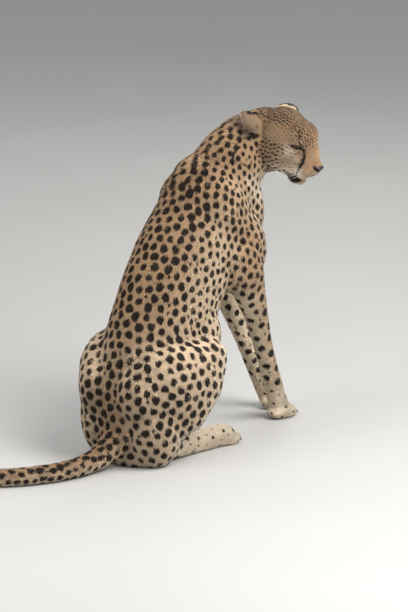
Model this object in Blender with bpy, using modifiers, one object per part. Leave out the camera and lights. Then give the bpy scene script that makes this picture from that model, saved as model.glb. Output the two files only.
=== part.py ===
"""A cheetah sitting on its haunches, life size. Metres, +Z up.

It faces -Y with its left side at +X, and looks round to its right. The floor is Z = 0 and the origin
is on the floor under the seat. The body is laid out as swept limbs and rounded muscle masses, which are
fused into one flesh, and parted by thin cuts into the pieces that a person would name.
"""

import math

import bmesh
import bpy
from mathutils import Matrix, Vector

GAP = 0.0005
FLESH_VOXEL = 0.0048
SMOOTH_ALL = 5
SMOOTH_BODY = 14
FLESH_RATIO = 0.0262
HEAD_KEEP = 0.974
PAW_KEEP = 0.985
RING = 20

# Trunk: the back line and the belly line in the plane of symmetry, as (y, z), and the half width there.
TRUNK = [
    ((0.030, 0.055), (-0.060, -0.010), 0.090),
    ((0.046, 0.110), (-0.110, 0.020), 0.112),
    ((0.056, 0.195), (-0.165, 0.100), 0.124),
    ((0.043, 0.285), (-0.232, 0.180), 0.123),
    ((0.005, 0.377), (-0.302, 0.254), 0.119),
    ((-0.045, 0.470), (-0.328, 0.346), 0.117),
    ((-0.098, 0.548), (-0.362, 0.395), 0.119),
    ((-0.152, 0.612), (-0.415, 0.430), 0.116),
    ((-0.196, 0.665), (-0.456, 0.500), 0.106),
    ((-0.232, 0.717), (-0.476, 0.575), 0.092),
]
# Neck: centre, half width and half depth, from inside the chest up to the back of the skull.
NECK = [
    ((0.000, -0.340, 0.580), 0.096, 0.128),
    ((-0.001, -0.386, 0.653), 0.086, 0.124),
    ((0.000, -0.441, 0.705), 0.077, 0.105),
    ((-0.003, -0.500, 0.744), 0.068, 0.088),
    ((-0.030, -0.533, 0.779), 0.058, 0.066),
]
# Tail: centre and radius, from inside the rump along the floor to the tip.
TAIL = [
    ((0.000, 0.005, 0.085), 0.046),
    ((0.001, 0.050, 0.056), 0.038),
    ((0.004, 0.098, 0.034), 0.031),
    ((0.010, 0.165, 0.0255), 0.0275),
    ((0.028, 0.235, 0.0245), 0.0260),
    ((0.064, 0.305, 0.0240), 0.0255),
    ((0.116, 0.366, 0.0235), 0.0250),
    ((0.178, 0.418, 0.0225), 0.0240),
    ((0.250, 0.458, 0.0205), 0.0222),
    ((0.322, 0.486, 0.0182), 0.0198),
    ((0.372, 0.500, 0.0135), 0.0150),
]
# Legs: stations of centre, half width across and half depth fore and aft. Right side; the left is mirrored.
FOREARM = [
    ((-0.094, -0.345, 0.500), 0.042, 0.074),
    ((-0.098, -0.366, 0.440), 0.044, 0.065),
    ((-0.095, -0.392, 0.385), 0.038, 0.048),
    ((-0.086, -0.429, 0.315), 0.0315, 0.0345),
    ((-0.076, -0.466, 0.240), 0.0265, 0.0285),
    ((-0.067, -0.499, 0.175), 0.0250, 0.0265),
    ((-0.060, -0.527, 0.120), 0.0260, 0.0275),
    ((-0.053, -0.552, 0.072), 0.0265, 0.0270),
    ((-0.048, -0.574, 0.035), 0.0275, 0.0280),
]
# How far the left foreleg stands from the right one's mirror image, at its top and at the floor.
LEFT_TOP_SHIFT = (-0.036, -0.077)
LEFT_FOOT_SHIFT = (-0.010, -0.060)
LEFT_ARM_SHIFT = (-0.016, -0.038)
FORE_PAW = (-0.045, -0.602)
FORE_PAW_LEFT = (0.018, -0.665)
SHANK = [
    ((-0.130, -0.186, 0.266), 0.046, 0.050),
    ((-0.134, -0.152, 0.196), 0.050, 0.058),
    ((-0.122, -0.102, 0.130), 0.046, 0.058),
    ((-0.100, -0.050, 0.088), 0.036, 0.042),
    ((-0.084, -0.012, 0.060), 0.028, 0.034),
    ((-0.076, 0.004, 0.040), 0.025, 0.028),
]
THIGH = [
    ((-0.064, -0.010, 0.170), 0.074, 0.108),
    ((-0.086, -0.055, 0.192), 0.083, 0.130),
    ((-0.105, -0.104, 0.216), 0.079, 0.122),
    ((-0.121, -0.150, 0.244), 0.064, 0.092),
    ((-0.128, -0.178, 0.264), 0.050, 0.060),
]
HIND_HEEL = (-0.070, -0.020)
HIND_TOE = (-0.088, -0.311)

# Head, in its own frame: x forward from the back of the skull, y to its left, z up, nose tip at z = 0.
NOSE_X = 0.206
HEAD_YAW = math.radians(88.0)
HEAD_PITCH = math.radians(-22.0)
NOSE_TIP = Vector((-0.2065, -0.543, 0.7015))
SKULL = [
    (0.006, 0.030, 0.038, 0.038),
    (0.022, 0.023, 0.057, 0.053),
    (0.046, 0.0180, 0.0745, 0.062),
    (0.074, 0.0155, 0.0785, 0.066),
    (0.100, 0.0105, 0.0725, 0.062),
    (0.122, 0.0050, 0.0610, 0.053),
    (0.140, 0.0030, 0.0480, 0.043),
    (0.158, -0.0010, 0.0385, 0.035),
    (0.175, -0.0060, 0.0310, 0.030),
    (0.188, -0.0075, 0.0235, 0.0245),
    (0.195, -0.0080, 0.0140, 0.0150),
]
BRIDGE_SLOPE = math.radians(32.0)
EYE_AT = (0.1340, 0.0330, 0.0330)
EYE_RADIUS = 0.0150
NOSE_AT = (0.1945, 0.0, 0.0010)
NOSE_RADII = (0.0125, 0.0180, 0.0115)
# Ears: root, the way the tip points, and the way the convex back faces, in the head's frame.
EAR_RIGHT = ((0.023, -0.056, 0.032), (-0.55, -0.72, 0.40), (0.10, -0.25, 0.96))
EAR_LEFT = ((0.021, 0.050, 0.044), (-0.35, 0.93, 0.02), (-0.25, -0.08, 0.95))
EAR_RADII = (0.0370, 0.0320, 0.0185)
EAR_WALL = 0.0055

# Parting planes and boxes between the pieces.
HEAD_BACK_X = 0.028
JAW_TOP_Z = -0.0430
JAW_HINGE_X = 0.132
JAW_BACK_X = 0.122
MOUTH_OPEN = math.radians(7.0)
MOUTH_GAPE = 0.0035


def head_matrix():
    """The head's frame in the world: turned to its right by the yaw, and nodding down by the pitch."""
    forward = Vector(
        (
            -math.sin(HEAD_YAW) * math.cos(HEAD_PITCH),
            -math.cos(HEAD_YAW) * math.cos(HEAD_PITCH),
            math.sin(HEAD_PITCH),
        )
    )
    left = Vector((math.cos(HEAD_YAW), -math.sin(HEAD_YAW), 0.0))
    up = forward.cross(left)
    turn = Matrix((forward, left, up)).transposed()
    origin = NOSE_TIP - turn @ Vector((NOSE_X, 0.0, 0.0))
    return Matrix.Translation(origin) @ turn.to_4x4()


HEAD = head_matrix()


def new_object(name, bm, collection):
    bmesh.ops.recalc_face_normals(bm, faces=bm.faces)
    mesh = bpy.data.meshes.new(name)
    bm.to_mesh(mesh)
    bm.free()
    obj = bpy.data.objects.new(name, mesh)
    collection.objects.link(obj)
    return obj


def sweep(name, stations, collection, across=None, segments=RING):
    """A closed tube through stations (centre, half width, half depth), with domed ends."""
    centres = [Vector(s[0]) for s in stations]
    rings = []
    bm = bmesh.new()
    last = len(centres) - 1
    for i, centre in enumerate(centres):
        tangent = (centres[min(i + 1, last)] - centres[max(i - 1, 0)]).normalized()
        side = Vector(across) if across else Vector((1, 0, 0))
        side = (side - tangent * side.dot(tangent)).normalized()
        depth = tangent.cross(side)
        wide = stations[i][1]
        deep = stations[i][2] if len(stations[i]) > 2 else wide
        rows = [(0.0, 1.0)]
        cap = min(wide, deep)
        if i == 0:
            rows = [(-cap * math.sin(a), math.cos(a)) for a in (1.25, 0.9, 0.5)] + rows
        if i == last:
            rows = rows + [(cap * math.sin(a), math.cos(a)) for a in (0.5, 0.9, 1.25)]
        for along, size in rows:
            ring = []
            for k in range(segments):
                angle = 2 * math.pi * k / segments
                offset = side * (wide * size * math.cos(angle)) + depth * (deep * size * math.sin(angle))
                ring.append(bm.verts.new(centre + tangent * along + offset))
            rings.append(ring)
    for a, b in zip(rings, rings[1:]):
        for k in range(segments):
            j = (k + 1) % segments
            bm.faces.new((a[k], a[j], b[j], b[k]))
    bm.faces.new(rings[0][::-1])
    bm.faces.new(rings[-1])
    return new_object(name, bm, collection)


def ball(name, centre, radii, collection, turn=None, frame=None, segments=24):
    """An ellipsoid, optionally turned and placed in another frame."""
    bm = bmesh.new()
    bmesh.ops.create_uvsphere(bm, u_segments=segments, v_segments=segments // 2, radius=1.0)
    place = Matrix.Translation(Vector(centre))
    if turn is not None:
        place = place @ turn.to_4x4()
    place = place @ Matrix.Diagonal(Vector((*radii, 1.0)))
    if frame is not None:
        place = frame @ place
    bmesh.ops.transform(bm, matrix=place, verts=bm.verts)
    return new_object(name, bm, collection)


def box(name, low, high, collection, frame=None):
    """A box between two corners, optionally placed in another frame."""
    bm = bmesh.new()
    bmesh.ops.create_cube(bm, size=1.0)
    low = Vector(low)
    high = Vector(high)
    size = high - low
    place = Matrix.Translation((low + high) / 2) @ Matrix.Diagonal(Vector((*size, 1.0)))
    if frame is not None:
        place = frame @ place
    bmesh.ops.transform(bm, matrix=place, verts=bm.verts)
    return new_object(name, bm, collection)


def evaluated_mesh(obj):
    graph = bpy.context.evaluated_depsgraph_get()
    return bpy.data.meshes.new_from_object(obj.evaluated_get(graph))


def bake(obj):
    """Applies the modifiers of an object."""
    mesh = evaluated_mesh(obj)
    obj.modifiers.clear()
    obj.data = mesh
    return obj


def boolean(obj, other, operation):
    step = obj.modifiers.new(operation.lower(), "BOOLEAN")
    step.operation = operation
    step.solver = "EXACT"
    step.object = other
    return bake(obj)


def copy_of(obj, name, collection):
    twin = bpy.data.objects.new(name, obj.data.copy())
    collection.objects.link(twin)
    return twin


def mirror_stations(stations):
    return [((-s[0][0], s[0][1], s[0][2]), *s[1:]) for s in stations]


def shift_stations(stations, at_top, at_foot):
    """The same leg moved across the floor, by one shift at its top and another at its foot."""
    top = stations[0][0][2]
    out = []
    for s in stations:
        x, y, z = s[0]
        low = (top - z) / top
        dx = at_top[0] + (at_foot[0] - at_top[0]) * low
        dy = at_top[1] + (at_foot[1] - at_top[1]) * low
        out.append(((x + dx, y + dy, z), *s[1:]))
    return out


def foreleg_stations(side):
    if side < 0:
        return FOREARM
    return shift_stations(mirror_stations(FOREARM), LEFT_TOP_SHIFT, LEFT_FOOT_SHIFT)


def trunk_stations():
    rows = []
    for back, belly, wide in TRUNK:
        centre = ((0.0, (back[0] + belly[0]) / 2, (back[1] + belly[1]) / 2))
        deep = math.dist(back, belly) / 2
        rows.append((centre, wide, deep))
    return rows


def paw(name, heel, toe, height, collection, wide=0.033):
    """Four rounded toes in a fan and the pad behind them, pointing from heel to toe along the floor."""
    made = []
    along = (Vector((*toe, 0)) - Vector((*heel, 0))).normalized()
    side = Vector((along.y, -along.x, 0))
    middle = Vector((*toe, 0))
    pad = middle - along * 0.026 + Vector((0, 0, height * 0.92))
    turn = Matrix((along, Vector((-along.y, along.x, 0)), Vector((0, 0, 1)))).transposed()
    made.append(ball(name + "_pad", pad, (0.042, wide, height * 1.02), collection, turn))
    for k, (out, ahead, size) in enumerate(
        ((-0.0235, -0.004, 0.0132), (-0.0085, 0.010, 0.0142), (0.0085, 0.010, 0.0142), (0.0235, -0.004, 0.0132))
    ):
        at = middle + side * out + along * ahead + Vector((0, 0, size * 1.02))
        made.append(ball(f"{name}_toe{k}", at, (0.026, size, size * 1.12), collection, turn))
    return made


def flesh(shapes):
    """Every soft mass of the animal, as overlapping closed solids."""
    made = [sweep("trunk_mass", trunk_stations(), shapes)]
    made.append(sweep("neck_mass", NECK, shapes))
    tail = [(c, r, r) for c, r in TAIL]
    made.append(sweep("tail_mass", tail, shapes, across=(1, 0, 0.01)))
    for side in (-1, 1):
        word = "right" if side < 0 else "left"
        fore = foreleg_stations(side)
        shank = SHANK if side < 0 else mirror_stations(SHANK)
        thigh = THIGH if side < 0 else mirror_stations(THIGH)
        made.append(sweep(f"fore_{word}", fore, shapes))
        made.append(sweep(f"shank_{word}", shank, shapes))
        made.append(sweep(f"thigh_{word}", thigh, shapes))
        x = side
        lean = Matrix.Rotation(math.radians(-28), 3, "X")
        blade = ball(f"blade_{word}", (0.066 * x, -0.325, 0.590), (0.050, 0.086, 0.115), shapes, lean)
        shift = (0.0, 0.0) if side < 0 else LEFT_ARM_SHIFT
        arm_at = (0.080 * x + shift[0], -0.388 + shift[1], 0.515)
        arm = ball(f"arm_{word}", arm_at, (0.047, 0.068, 0.100), shapes, lean)
        breast = ball(f"breast_{word}", (0.036 * x, -0.444, 0.585), (0.054, 0.050, 0.104), shapes)
        ham = ball(f"ham_{word}", (0.078 * x, -0.032, 0.115), (0.070, 0.082, 0.125), shapes)
        flank = ball(f"flank_{word}", (0.090 * x, -0.200, 0.305), (0.040, 0.070, 0.075), shapes)
        made += [blade, arm, breast, ham, flank]
        tip = FORE_PAW if side < 0 else FORE_PAW_LEFT
        root = (tip[0] + 0.008 * x, tip[1] + 0.06)
        made += paw(f"fore_paw_{word}", root, tip, 0.0235, shapes)
        heel = (-HIND_HEEL[0] * x, HIND_HEEL[1])
        toe = (-HIND_TOE[0] * x, HIND_TOE[1])
        foot = [
            ((heel[0], heel[1], 0.034), 0.0245, 0.0360),
            ((heel[0] * 0.7 + toe[0] * 0.3, heel[1] * 0.7 + toe[1] * 0.3, 0.0290), 0.0255, 0.0310),
            ((heel[0] * 0.35 + toe[0] * 0.65, heel[1] * 0.35 + toe[1] * 0.65, 0.0285), 0.0280, 0.0305),
            ((heel[0] * 0.1 + toe[0] * 0.9, heel[1] * 0.1 + toe[1] * 0.9, 0.0280), 0.0325, 0.0300),
        ]
        made.append(sweep(f"hind_foot_{word}", foot, shapes))
        made += paw(f"hind_paw_{word}", heel, toe, 0.0285, shapes, 0.036)
    made.append(ball("croup", (0.0, -0.012, 0.165), (0.122, 0.070, 0.150), shapes))
    made.append(ball("seat", (0.0, -0.015, 0.050), (0.080, 0.060, 0.064), shapes))
    made += head_masses(shapes)
    return made


def head_masses(shapes):
    rows = []
    for x, z, high, wide in SKULL:
        rows.append((HEAD @ Vector((x, 0.0, z)), wide, high))
    left = HEAD.to_3x3() @ Vector((0, 1, 0))
    made = [sweep("skull_mass", rows, shapes, across=left, segments=28)]
    masses = [
        ("brow", (0.128, 0.031, 0.0480), (0.028, 0.0175, 0.0125)),
        ("cheek", (0.080, 0.043, -0.018), (0.044, 0.026, 0.038)),
        ("whisker_pad", (0.170, 0.0175, -0.0230), (0.027, 0.0190, 0.0205)),
        ("jaw_side", (0.104, 0.028, -0.043), (0.050, 0.018, 0.0165)),
    ]
    for word, at, size in masses:
        for side in (-1, 1):
            spot = (at[0], at[1] * side, at[2])
            made.append(ball(f"{word}_{side}", spot, size, shapes, frame=HEAD))
    made.append(ball("chin", (0.156, 0.0, -0.0590), (0.0215, 0.0205, 0.0175), shapes, frame=HEAD))
    made.append(ball("jaw", (0.147, 0.0, -0.0575), (0.0265, 0.0260, 0.0215), shapes, frame=HEAD))
    made.append(ball("throat", (0.055, 0.0, -0.0600), (0.036, 0.0330, 0.0350), shapes, frame=HEAD))
    made.append(ball("forehead", (0.118, 0.0, 0.0600), (0.041, 0.0460, 0.0290), shapes, frame=HEAD))
    made.append(ball("crown", (0.070, 0.0, 0.056), (0.060, 0.048, 0.041), shapes, frame=HEAD))
    slope = Matrix.Rotation(BRIDGE_SLOPE, 3, "Y")
    made.append(ball("bridge", (0.135, 0.0, 0.0510), (0.061, 0.0275, 0.0208), shapes, slope, HEAD))
    return made


def fuse(made, name, collection):
    """One closed skin round all the masses, smoothed where they meet and thinned to few triangles."""
    bm = bmesh.new()
    for obj in made:
        bm.from_mesh(obj.data)
    body = new_object(name, bm, collection)
    remesh = body.modifiers.new("fuse", "REMESH")
    remesh.mode = "VOXEL"
    remesh.voxel_size = FLESH_VOXEL
    bake(body)
    soft = body.vertex_groups.new(name="soft")
    for vertex in body.data.vertices:
        fine = on_head(vertex.co) or on_paw(vertex.co)
        soft.add([vertex.index], 0.0 if fine else 1.0, "REPLACE")
    for group, times in (("", SMOOTH_ALL), ("soft", SMOOTH_BODY)):
        smooth = body.modifiers.new("soften", "SMOOTH")
        smooth.factor = 0.5
        smooth.iterations = times
        smooth.vertex_group = group
    bake(body)
    body.vertex_groups.clear()
    return body


def on_head(co):
    at = HEAD.inverted() @ co
    return 0.02 < at.x < 0.23 and abs(at.y) < 0.09 and -0.09 < at.z < 0.13


def on_paw(co):
    return co.z < 0.055 and co.y < -0.2


def rest_on_floor(body, cut):
    """Opens the flesh at the floor and closes it with flats, or settles points that strayed from the flats."""
    bm = bmesh.new()
    bm.from_mesh(body.data)
    if cut:
        geom = bm.verts[:] + bm.edges[:] + bm.faces[:]
        bmesh.ops.bisect_plane(bm, geom=geom, plane_co=(0, 0, 0), plane_no=(0, 0, 1), clear_inner=True)
        rim = [edge for edge in bm.edges if edge.is_boundary]
        bmesh.ops.holes_fill(bm, edges=rim, sides=0)
        bmesh.ops.triangulate(bm, faces=[face for face in bm.faces if len(face.verts) > 4])
    else:
        for vertex in bm.verts:
            if vertex.co.z < 0.0012:
                vertex.co.z = 0.0
    bmesh.ops.dissolve_degenerate(bm, dist=0.0002, edges=bm.edges)
    bmesh.ops.triangulate(bm, faces=bm.faces)
    bm.to_mesh(body.data)
    bm.free()
    return largest_piece(body)


def thin(body):
    """Fewer triangles, with more of them kept on the head and paws."""
    group = body.vertex_groups.new(name="plain")
    for vertex in body.data.vertices:
        weight = HEAD_KEEP if on_head(vertex.co) else (PAW_KEEP if on_paw(vertex.co) else 1.0)
        group.add([vertex.index], weight, "REPLACE")
    step = body.modifiers.new("thin", "DECIMATE")
    step.ratio = FLESH_RATIO
    step.vertex_group = "plain"
    step.use_collapse_triangulate = True
    bake(body)
    body.vertex_groups.clear()
    return body


def largest_piece(obj):
    """Keeps the biggest connected part of a mesh and drops crumbs."""
    bm = bmesh.new()
    bm.from_mesh(obj.data)
    left = set(bm.faces)
    pieces = []
    while left:
        seed = left.pop()
        piece = {seed}
        edge_list = [seed]
        while edge_list:
            face = edge_list.pop()
            for edge in face.edges:
                for near in edge.link_faces:
                    if near in left:
                        left.discard(near)
                        piece.add(near)
                        edge_list.append(near)
        pieces.append(piece)
    pieces.sort(key=lambda piece: -sum(face.calc_area() for face in piece))
    extra = [face for piece in pieces[1:] for face in piece]
    bmesh.ops.delete(bm, geom=extra, context="FACES")
    loose = [vertex for vertex in bm.verts if not vertex.link_faces]
    bmesh.ops.delete(bm, geom=loose, context="VERTS")
    bmesh.ops.triangulate(bm, faces=bm.faces)
    bm.to_mesh(obj.data)
    bm.free()
    return obj


def part_off(rest, name, region, grown, collection):
    """Takes the part of the flesh inside a region as its own piece, and a hair more away from the rest."""
    piece = copy_of(rest, name, collection)
    boolean(piece, region, "INTERSECT")
    boolean(rest, grown, "DIFFERENCE")
    largest_piece(piece)
    largest_piece(rest)
    return piece


def box_pair(name, low, high, shapes, frame=None):
    """A box and the same box grown by the gap."""
    grow = Vector((GAP, GAP, GAP))
    inner = box(name, low, high, shapes, frame)
    outer = box(name + "_grown", Vector(low) - grow, Vector(high) + grow, shapes, frame)
    return inner, outer


def frame_at(origin, forward, side=(1, 0, 0)):
    """A frame with x along forward, y across, and z square to both."""
    forward = Vector(forward).normalized()
    side = Vector(side)
    side = (side - forward * side.dot(forward)).normalized()
    up = forward.cross(side)
    return Matrix.Translation(Vector(origin)) @ Matrix((forward, side, up)).transposed().to_4x4()


def ear(name, root, tip_way, back_way, shapes, collection):
    """A rounded cupped ear: an ellipsoid hollowed from its front."""
    along = Vector(tip_way).normalized()
    back = Vector(back_way)
    back = (back - along * back.dot(along)).normalized()
    across = back.cross(along)
    turn = Matrix((along, across, back)).transposed()
    centre = Vector(root) + along * (EAR_RADII[0] * 0.72)
    shell = ball(name, centre, EAR_RADII, collection, turn, HEAD, segments=16)
    wall = EAR_WALL
    inner_radii = (EAR_RADII[0] - wall, EAR_RADII[1] - wall, EAR_RADII[2])
    hollow = ball(name + "_hollow", centre - back * wall * 1.3, inner_radii, shapes, turn, HEAD, segments=16)
    boolean(shell, hollow, "DIFFERENCE")
    front = centre - back * (EAR_RADII[2] * 1.42)
    place = HEAD @ Matrix.Translation(front) @ turn.to_4x4()
    mouth = box(name + "_front", (-0.08, -0.08, -0.02), (0.08, 0.08, 0.02), shapes, place)
    boolean(shell, mouth, "DIFFERENCE")
    return shell


def skin_grown(obj, name, shapes):
    """A copy of a piece swollen by the gap, as a cutter for what sits on it."""
    twin = copy_of(obj, name, shapes)
    swell = twin.modifiers.new("swell", "DISPLACE")
    swell.strength = GAP * 1.6
    swell.mid_level = 0.0
    return bake(twin)


def material(name, colour, roughness):
    made = bpy.data.materials.new(name)
    made.use_nodes = True
    shader = made.node_tree.nodes["Principled BSDF"]
    shader.inputs["Base Color"].default_value = (*colour, 1.0)
    shader.inputs["Roughness"].default_value = roughness
    return made


def part_body(body, shapes, cheetah):
    """Parts the flesh into named pieces."""
    pieces = {}

    def take(name, low, high, frame=None):
        inner, outer = box_pair("cut_" + name, low, high, shapes, frame)
        pieces[name] = part_off(body, name, inner, outer, cheetah)

    def scoop(name, centre, radii, turn):
        inner = ball("cut_" + name, centre, radii, shapes, turn, segments=12)
        grown = [r + GAP for r in radii]
        outer = ball("cut_" + name + "_grown", centre, grown, shapes, turn, segments=12)
        pieces[name] = part_off(body, name, inner, outer, cheetah)

    take("head", (HEAD_BACK_X, -0.077, -0.082), (0.30, 0.12, 0.20), HEAD)
    nape = frame_at((0, -0.345, 0.668), (0, -0.62, 0.78))
    take("neck", (0.0, -0.25, -0.25), (0.40, 0.25, 0.25), nape)
    for side in (-1, 1):
        word = "right" if side < 0 else "left"
        fore = foreleg_stations(side)
        elbow = Vector(fore[2][0])
        wrist = Vector(fore[6][0])
        down = frame_at(elbow, wrist - elbow)
        length = (wrist - elbow).length
        take(f"forepaw_{word}", (length, -0.055, -0.12), (length + 0.30, 0.055, 0.12), down)
        take(f"forearm_{word}", (0.006, -0.070, -0.085), (length + 0.01, 0.070, 0.085), down)
        lean = Matrix.Rotation(math.radians(-17), 3, "X")
        scoop(f"upper_arm_{word}", (0.155 * side, -0.378, 0.520), (0.115, 0.110, 0.190), lean)
        heel = Vector((HIND_HEEL[0] * -side, HIND_HEEL[1], 0))
        toe = Vector((HIND_TOE[0] * -side, HIND_TOE[1], 0))
        foot = frame_at(heel, toe - heel, (0, 0, 1))
        reach = (toe - heel).length
        take(f"hind_foot_{word}", (reach * 0.40, -0.1, -0.050), (reach + 0.1, 0.072, 0.050), foot)
        scoop(f"thigh_{word}", (0.158 * side, -0.085, 0.165), (0.125, 0.215, 0.200), Matrix.Identity(3))
    for name, k, wide in (("tail_tip", 6, 0.25), ("tail_middle", 4, 0.20), ("tail_root", 1, 0.050)):
        here = Vector(TAIL[k][0])
        way = Vector(TAIL[k + 1][0]) - Vector(TAIL[k - 1][0])
        take(name, (0.0, -wide, -0.15), (0.6, wide, 0.15), frame_at(here, way))
    body.name = "trunk"
    pieces["trunk"] = body
    return pieces


def main():
    for old in list(bpy.data.objects):
        bpy.data.objects.remove(old)
    scene = bpy.context.scene
    cheetah = bpy.data.collections.new("cheetah")
    scene.collection.children.link(cheetah)
    shapes = bpy.data.collections.new("cutters")
    shapes.hide_render = True
    scene.collection.children.link(shapes)
    body = fuse(flesh(shapes), "body", cheetah)
    for obj in list(shapes.objects):
        bpy.data.objects.remove(obj)
    rest_on_floor(body, True)
    thin(body)
    rest_on_floor(body, False)
    pieces = part_body(body, shapes, cheetah)
    head = pieces["head"]
    jaw_low = (JAW_BACK_X, -0.08, -0.14)
    jaw_high = (0.26, 0.08, JAW_TOP_Z)
    hinge = HEAD @ Matrix.Translation(Vector((JAW_HINGE_X, 0, JAW_TOP_Z)))
    gape = hinge @ Matrix.Rotation(MOUTH_OPEN / 2, 4, "Y")
    wedge = box("mouth_gape", (0.0, -0.08, -MOUTH_GAPE / 2), (0.12, 0.08, MOUTH_GAPE / 2), shapes, gape)
    boolean(head, wedge, "DIFFERENCE")
    inner, outer = box_pair("cut_jaw", jaw_low, jaw_high, shapes, HEAD)
    pieces["lower_jaw"] = part_off(head, "lower_jaw", inner, outer, cheetah)
    for side in (-1, 1):
        word = "right" if side < 0 else "left"
        at = HEAD @ Vector((EYE_AT[0], EYE_AT[1] * side, EYE_AT[2]))
        socket = ball(f"socket_{word}", at, [EYE_RADIUS + GAP] * 3, shapes, segments=12)
        boolean(head, socket, "DIFFERENCE")
        pieces[f"eye_{word}"] = ball(f"eye_{word}", at, [EYE_RADIUS] * 3, cheetah, segments=12)
    nest = [r + GAP for r in NOSE_RADII]
    boolean(head, ball("nose_nest", NOSE_AT, nest, shapes, frame=HEAD, segments=12), "DIFFERENCE")
    pieces["nose"] = ball("nose", NOSE_AT, NOSE_RADII, cheetah, frame=HEAD, segments=12)
    largest_piece(head)
    swollen = skin_grown(head, "head_grown", shapes)
    swollen_neck = skin_grown(pieces["neck"], "neck_grown", shapes)
    for word, spec in (("right", EAR_RIGHT), ("left", EAR_LEFT)):
        made = ear(f"ear_{word}", *spec, shapes, cheetah)
        boolean(made, swollen, "DIFFERENCE")
        boolean(made, swollen_neck, "DIFFERENCE")
        largest_piece(made)
        pieces[f"ear_{word}"] = made
    coat = material("spotted_coat", (0.62, 0.44, 0.26), 0.85)
    pale = material("pale_coat", (0.80, 0.72, 0.58), 0.85)
    dark = material("eye_amber", (0.30, 0.16, 0.05), 0.10)
    black = material("nose_black", (0.02, 0.018, 0.016), 0.35)
    for name, piece in pieces.items():
        piece.data.materials.clear()
        if name.startswith("eye"):
            piece.data.materials.append(dark)
        elif name == "nose":
            piece.data.materials.append(black)
        elif name.startswith(("hind_foot", "lower_jaw")):
            piece.data.materials.append(pale)
        else:
            piece.data.materials.append(coat)
        for face in piece.data.polygons:
            face.use_smooth = True
    for obj in list(shapes.objects):
        obj.display_type = "WIRE"
        obj.hide_render = True


main()
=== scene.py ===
"""A sitting cheetah, life size: one skin with a short spotted coat over it, on a plain studio floor.

Metres, +Z up. It faces -Y with its left side at +X, and looks round to its right.
"""

import math
from typing import NamedTuple

import bmesh
import bpy
import numpy as np
from mathutils import Matrix, Vector
from mathutils.bvhtree import BVHTree
from mathutils.kdtree import KDTree


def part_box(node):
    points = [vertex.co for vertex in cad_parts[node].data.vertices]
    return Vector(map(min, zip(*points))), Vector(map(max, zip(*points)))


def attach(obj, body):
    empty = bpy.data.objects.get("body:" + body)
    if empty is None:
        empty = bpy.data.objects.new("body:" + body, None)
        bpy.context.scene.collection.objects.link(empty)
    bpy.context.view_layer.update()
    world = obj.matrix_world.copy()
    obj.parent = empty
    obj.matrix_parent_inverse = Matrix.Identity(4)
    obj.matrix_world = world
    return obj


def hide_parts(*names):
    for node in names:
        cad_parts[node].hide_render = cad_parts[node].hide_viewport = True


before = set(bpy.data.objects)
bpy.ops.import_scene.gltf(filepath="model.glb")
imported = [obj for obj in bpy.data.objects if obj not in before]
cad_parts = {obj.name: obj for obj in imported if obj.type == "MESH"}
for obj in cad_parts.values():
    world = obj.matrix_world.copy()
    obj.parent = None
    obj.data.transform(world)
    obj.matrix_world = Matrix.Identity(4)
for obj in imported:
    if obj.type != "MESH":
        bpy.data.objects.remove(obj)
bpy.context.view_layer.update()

SEED = 11

# Skin: the grid on which the nodes are fused, and the faces left once it is thinned
SKIN_VOXEL = 0.0023
SKIN_TRIANGLES = 188000
# A slight roughness while the skin is thinned, so that its faces come out alike in size
ROUGHEN = 0.0006
# Rounds of smoothing: on the whole skin, on all but the head, the ears and the paws, on the muzzle, and
# round the eyes before and after the lids are set
SOFTEN_FINE = 6
SOFTEN_BODY = 70
SOFTEN_MUZZLE = 4
SOFTEN_ORBITS = 24
SOFTEN_LIDS = 14
# The same for the edge of the fine zone, for what the smoothing took off, for the lie and for the colours
SOFTEN_ZONE = 6
SOFTEN_SHRINKAGE = 50
SOFTEN_LIE = 24
SOFTEN_COLOURS = 8
# No part of the skin goes lower than this above the floor, nor any tuft lower than the second
SKIN_FLOOR = 0.0006
TUFT_FLOOR = 0.0003

# Coat: tufts in each coat piece
TUFTS = 48500

SIDES = (("right", -1), ("left", 1))


# ---------------------------------------------------------------- small sums
def box_corners(node):
    """The lowest and the highest corner of a CAD node's box."""
    low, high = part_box(node)
    return np.array(low), np.array(high)


def box_point(node, fx, fy, fz):
    """A point at fractions of a CAD node's box."""
    low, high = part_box(node)
    return np.array([low[i] + (high[i] - low[i]) * f for i, f in enumerate((fx, fy, fz))])


def outside_box(points, node):
    """How far each point lies outside a CAD node's box."""
    low, high = box_corners(node)
    return np.linalg.norm(np.maximum(np.maximum(low - points, points - high), 0), axis=1)


def distance(points, centre):
    return np.linalg.norm(points - centre, axis=1)


def unit(v):
    v = np.asarray(v, float)
    return v / np.maximum(np.linalg.norm(v, axis=-1, keepdims=True), 1e-12)


def ramp(low, high, x):
    """0 below low, 1 above high, smooth between."""
    t = np.clip((np.asarray(x, float) - low) / (high - low), 0, 1)
    return t * t * (3 - 2 * t)


def bell(x, width):
    return np.exp(-((np.asarray(x, float) / width) ** 2))


def mix(a, b, t):
    return a + (b - a) * t


def chain_gap(points, chain):
    """The distance of each point to a chain of points, and how far along the chain it is, from 0 to 1."""
    chain = np.asarray(chain, float)
    best = np.full(len(points), np.inf)
    place = np.zeros(len(points))
    last = len(chain) - 1
    for i in range(last):
        a, b = chain[i], chain[i + 1]
        ab = b - a
        t = np.clip((points - a) @ ab / (ab @ ab), 0, 1)
        gap = np.linalg.norm(points - (a + t[:, None] * ab), axis=1)
        nearer = gap < best
        best = np.where(nearer, gap, best)
        place = np.where(nearer, (i + t) / last, place)
    return best, place


# ---------------------------------------------------------------- the head's frame
EYE = {word: box_point(f"eye_{word}", 0.5, 0.5, 0.5) for word, _ in SIDES}
EYE_RADIUS = float(np.array(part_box("eye_right")[1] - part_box("eye_right")[0]).max()) / 2
NOSE = box_point("nose", 0.5, 0.5, 0.5)
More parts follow.
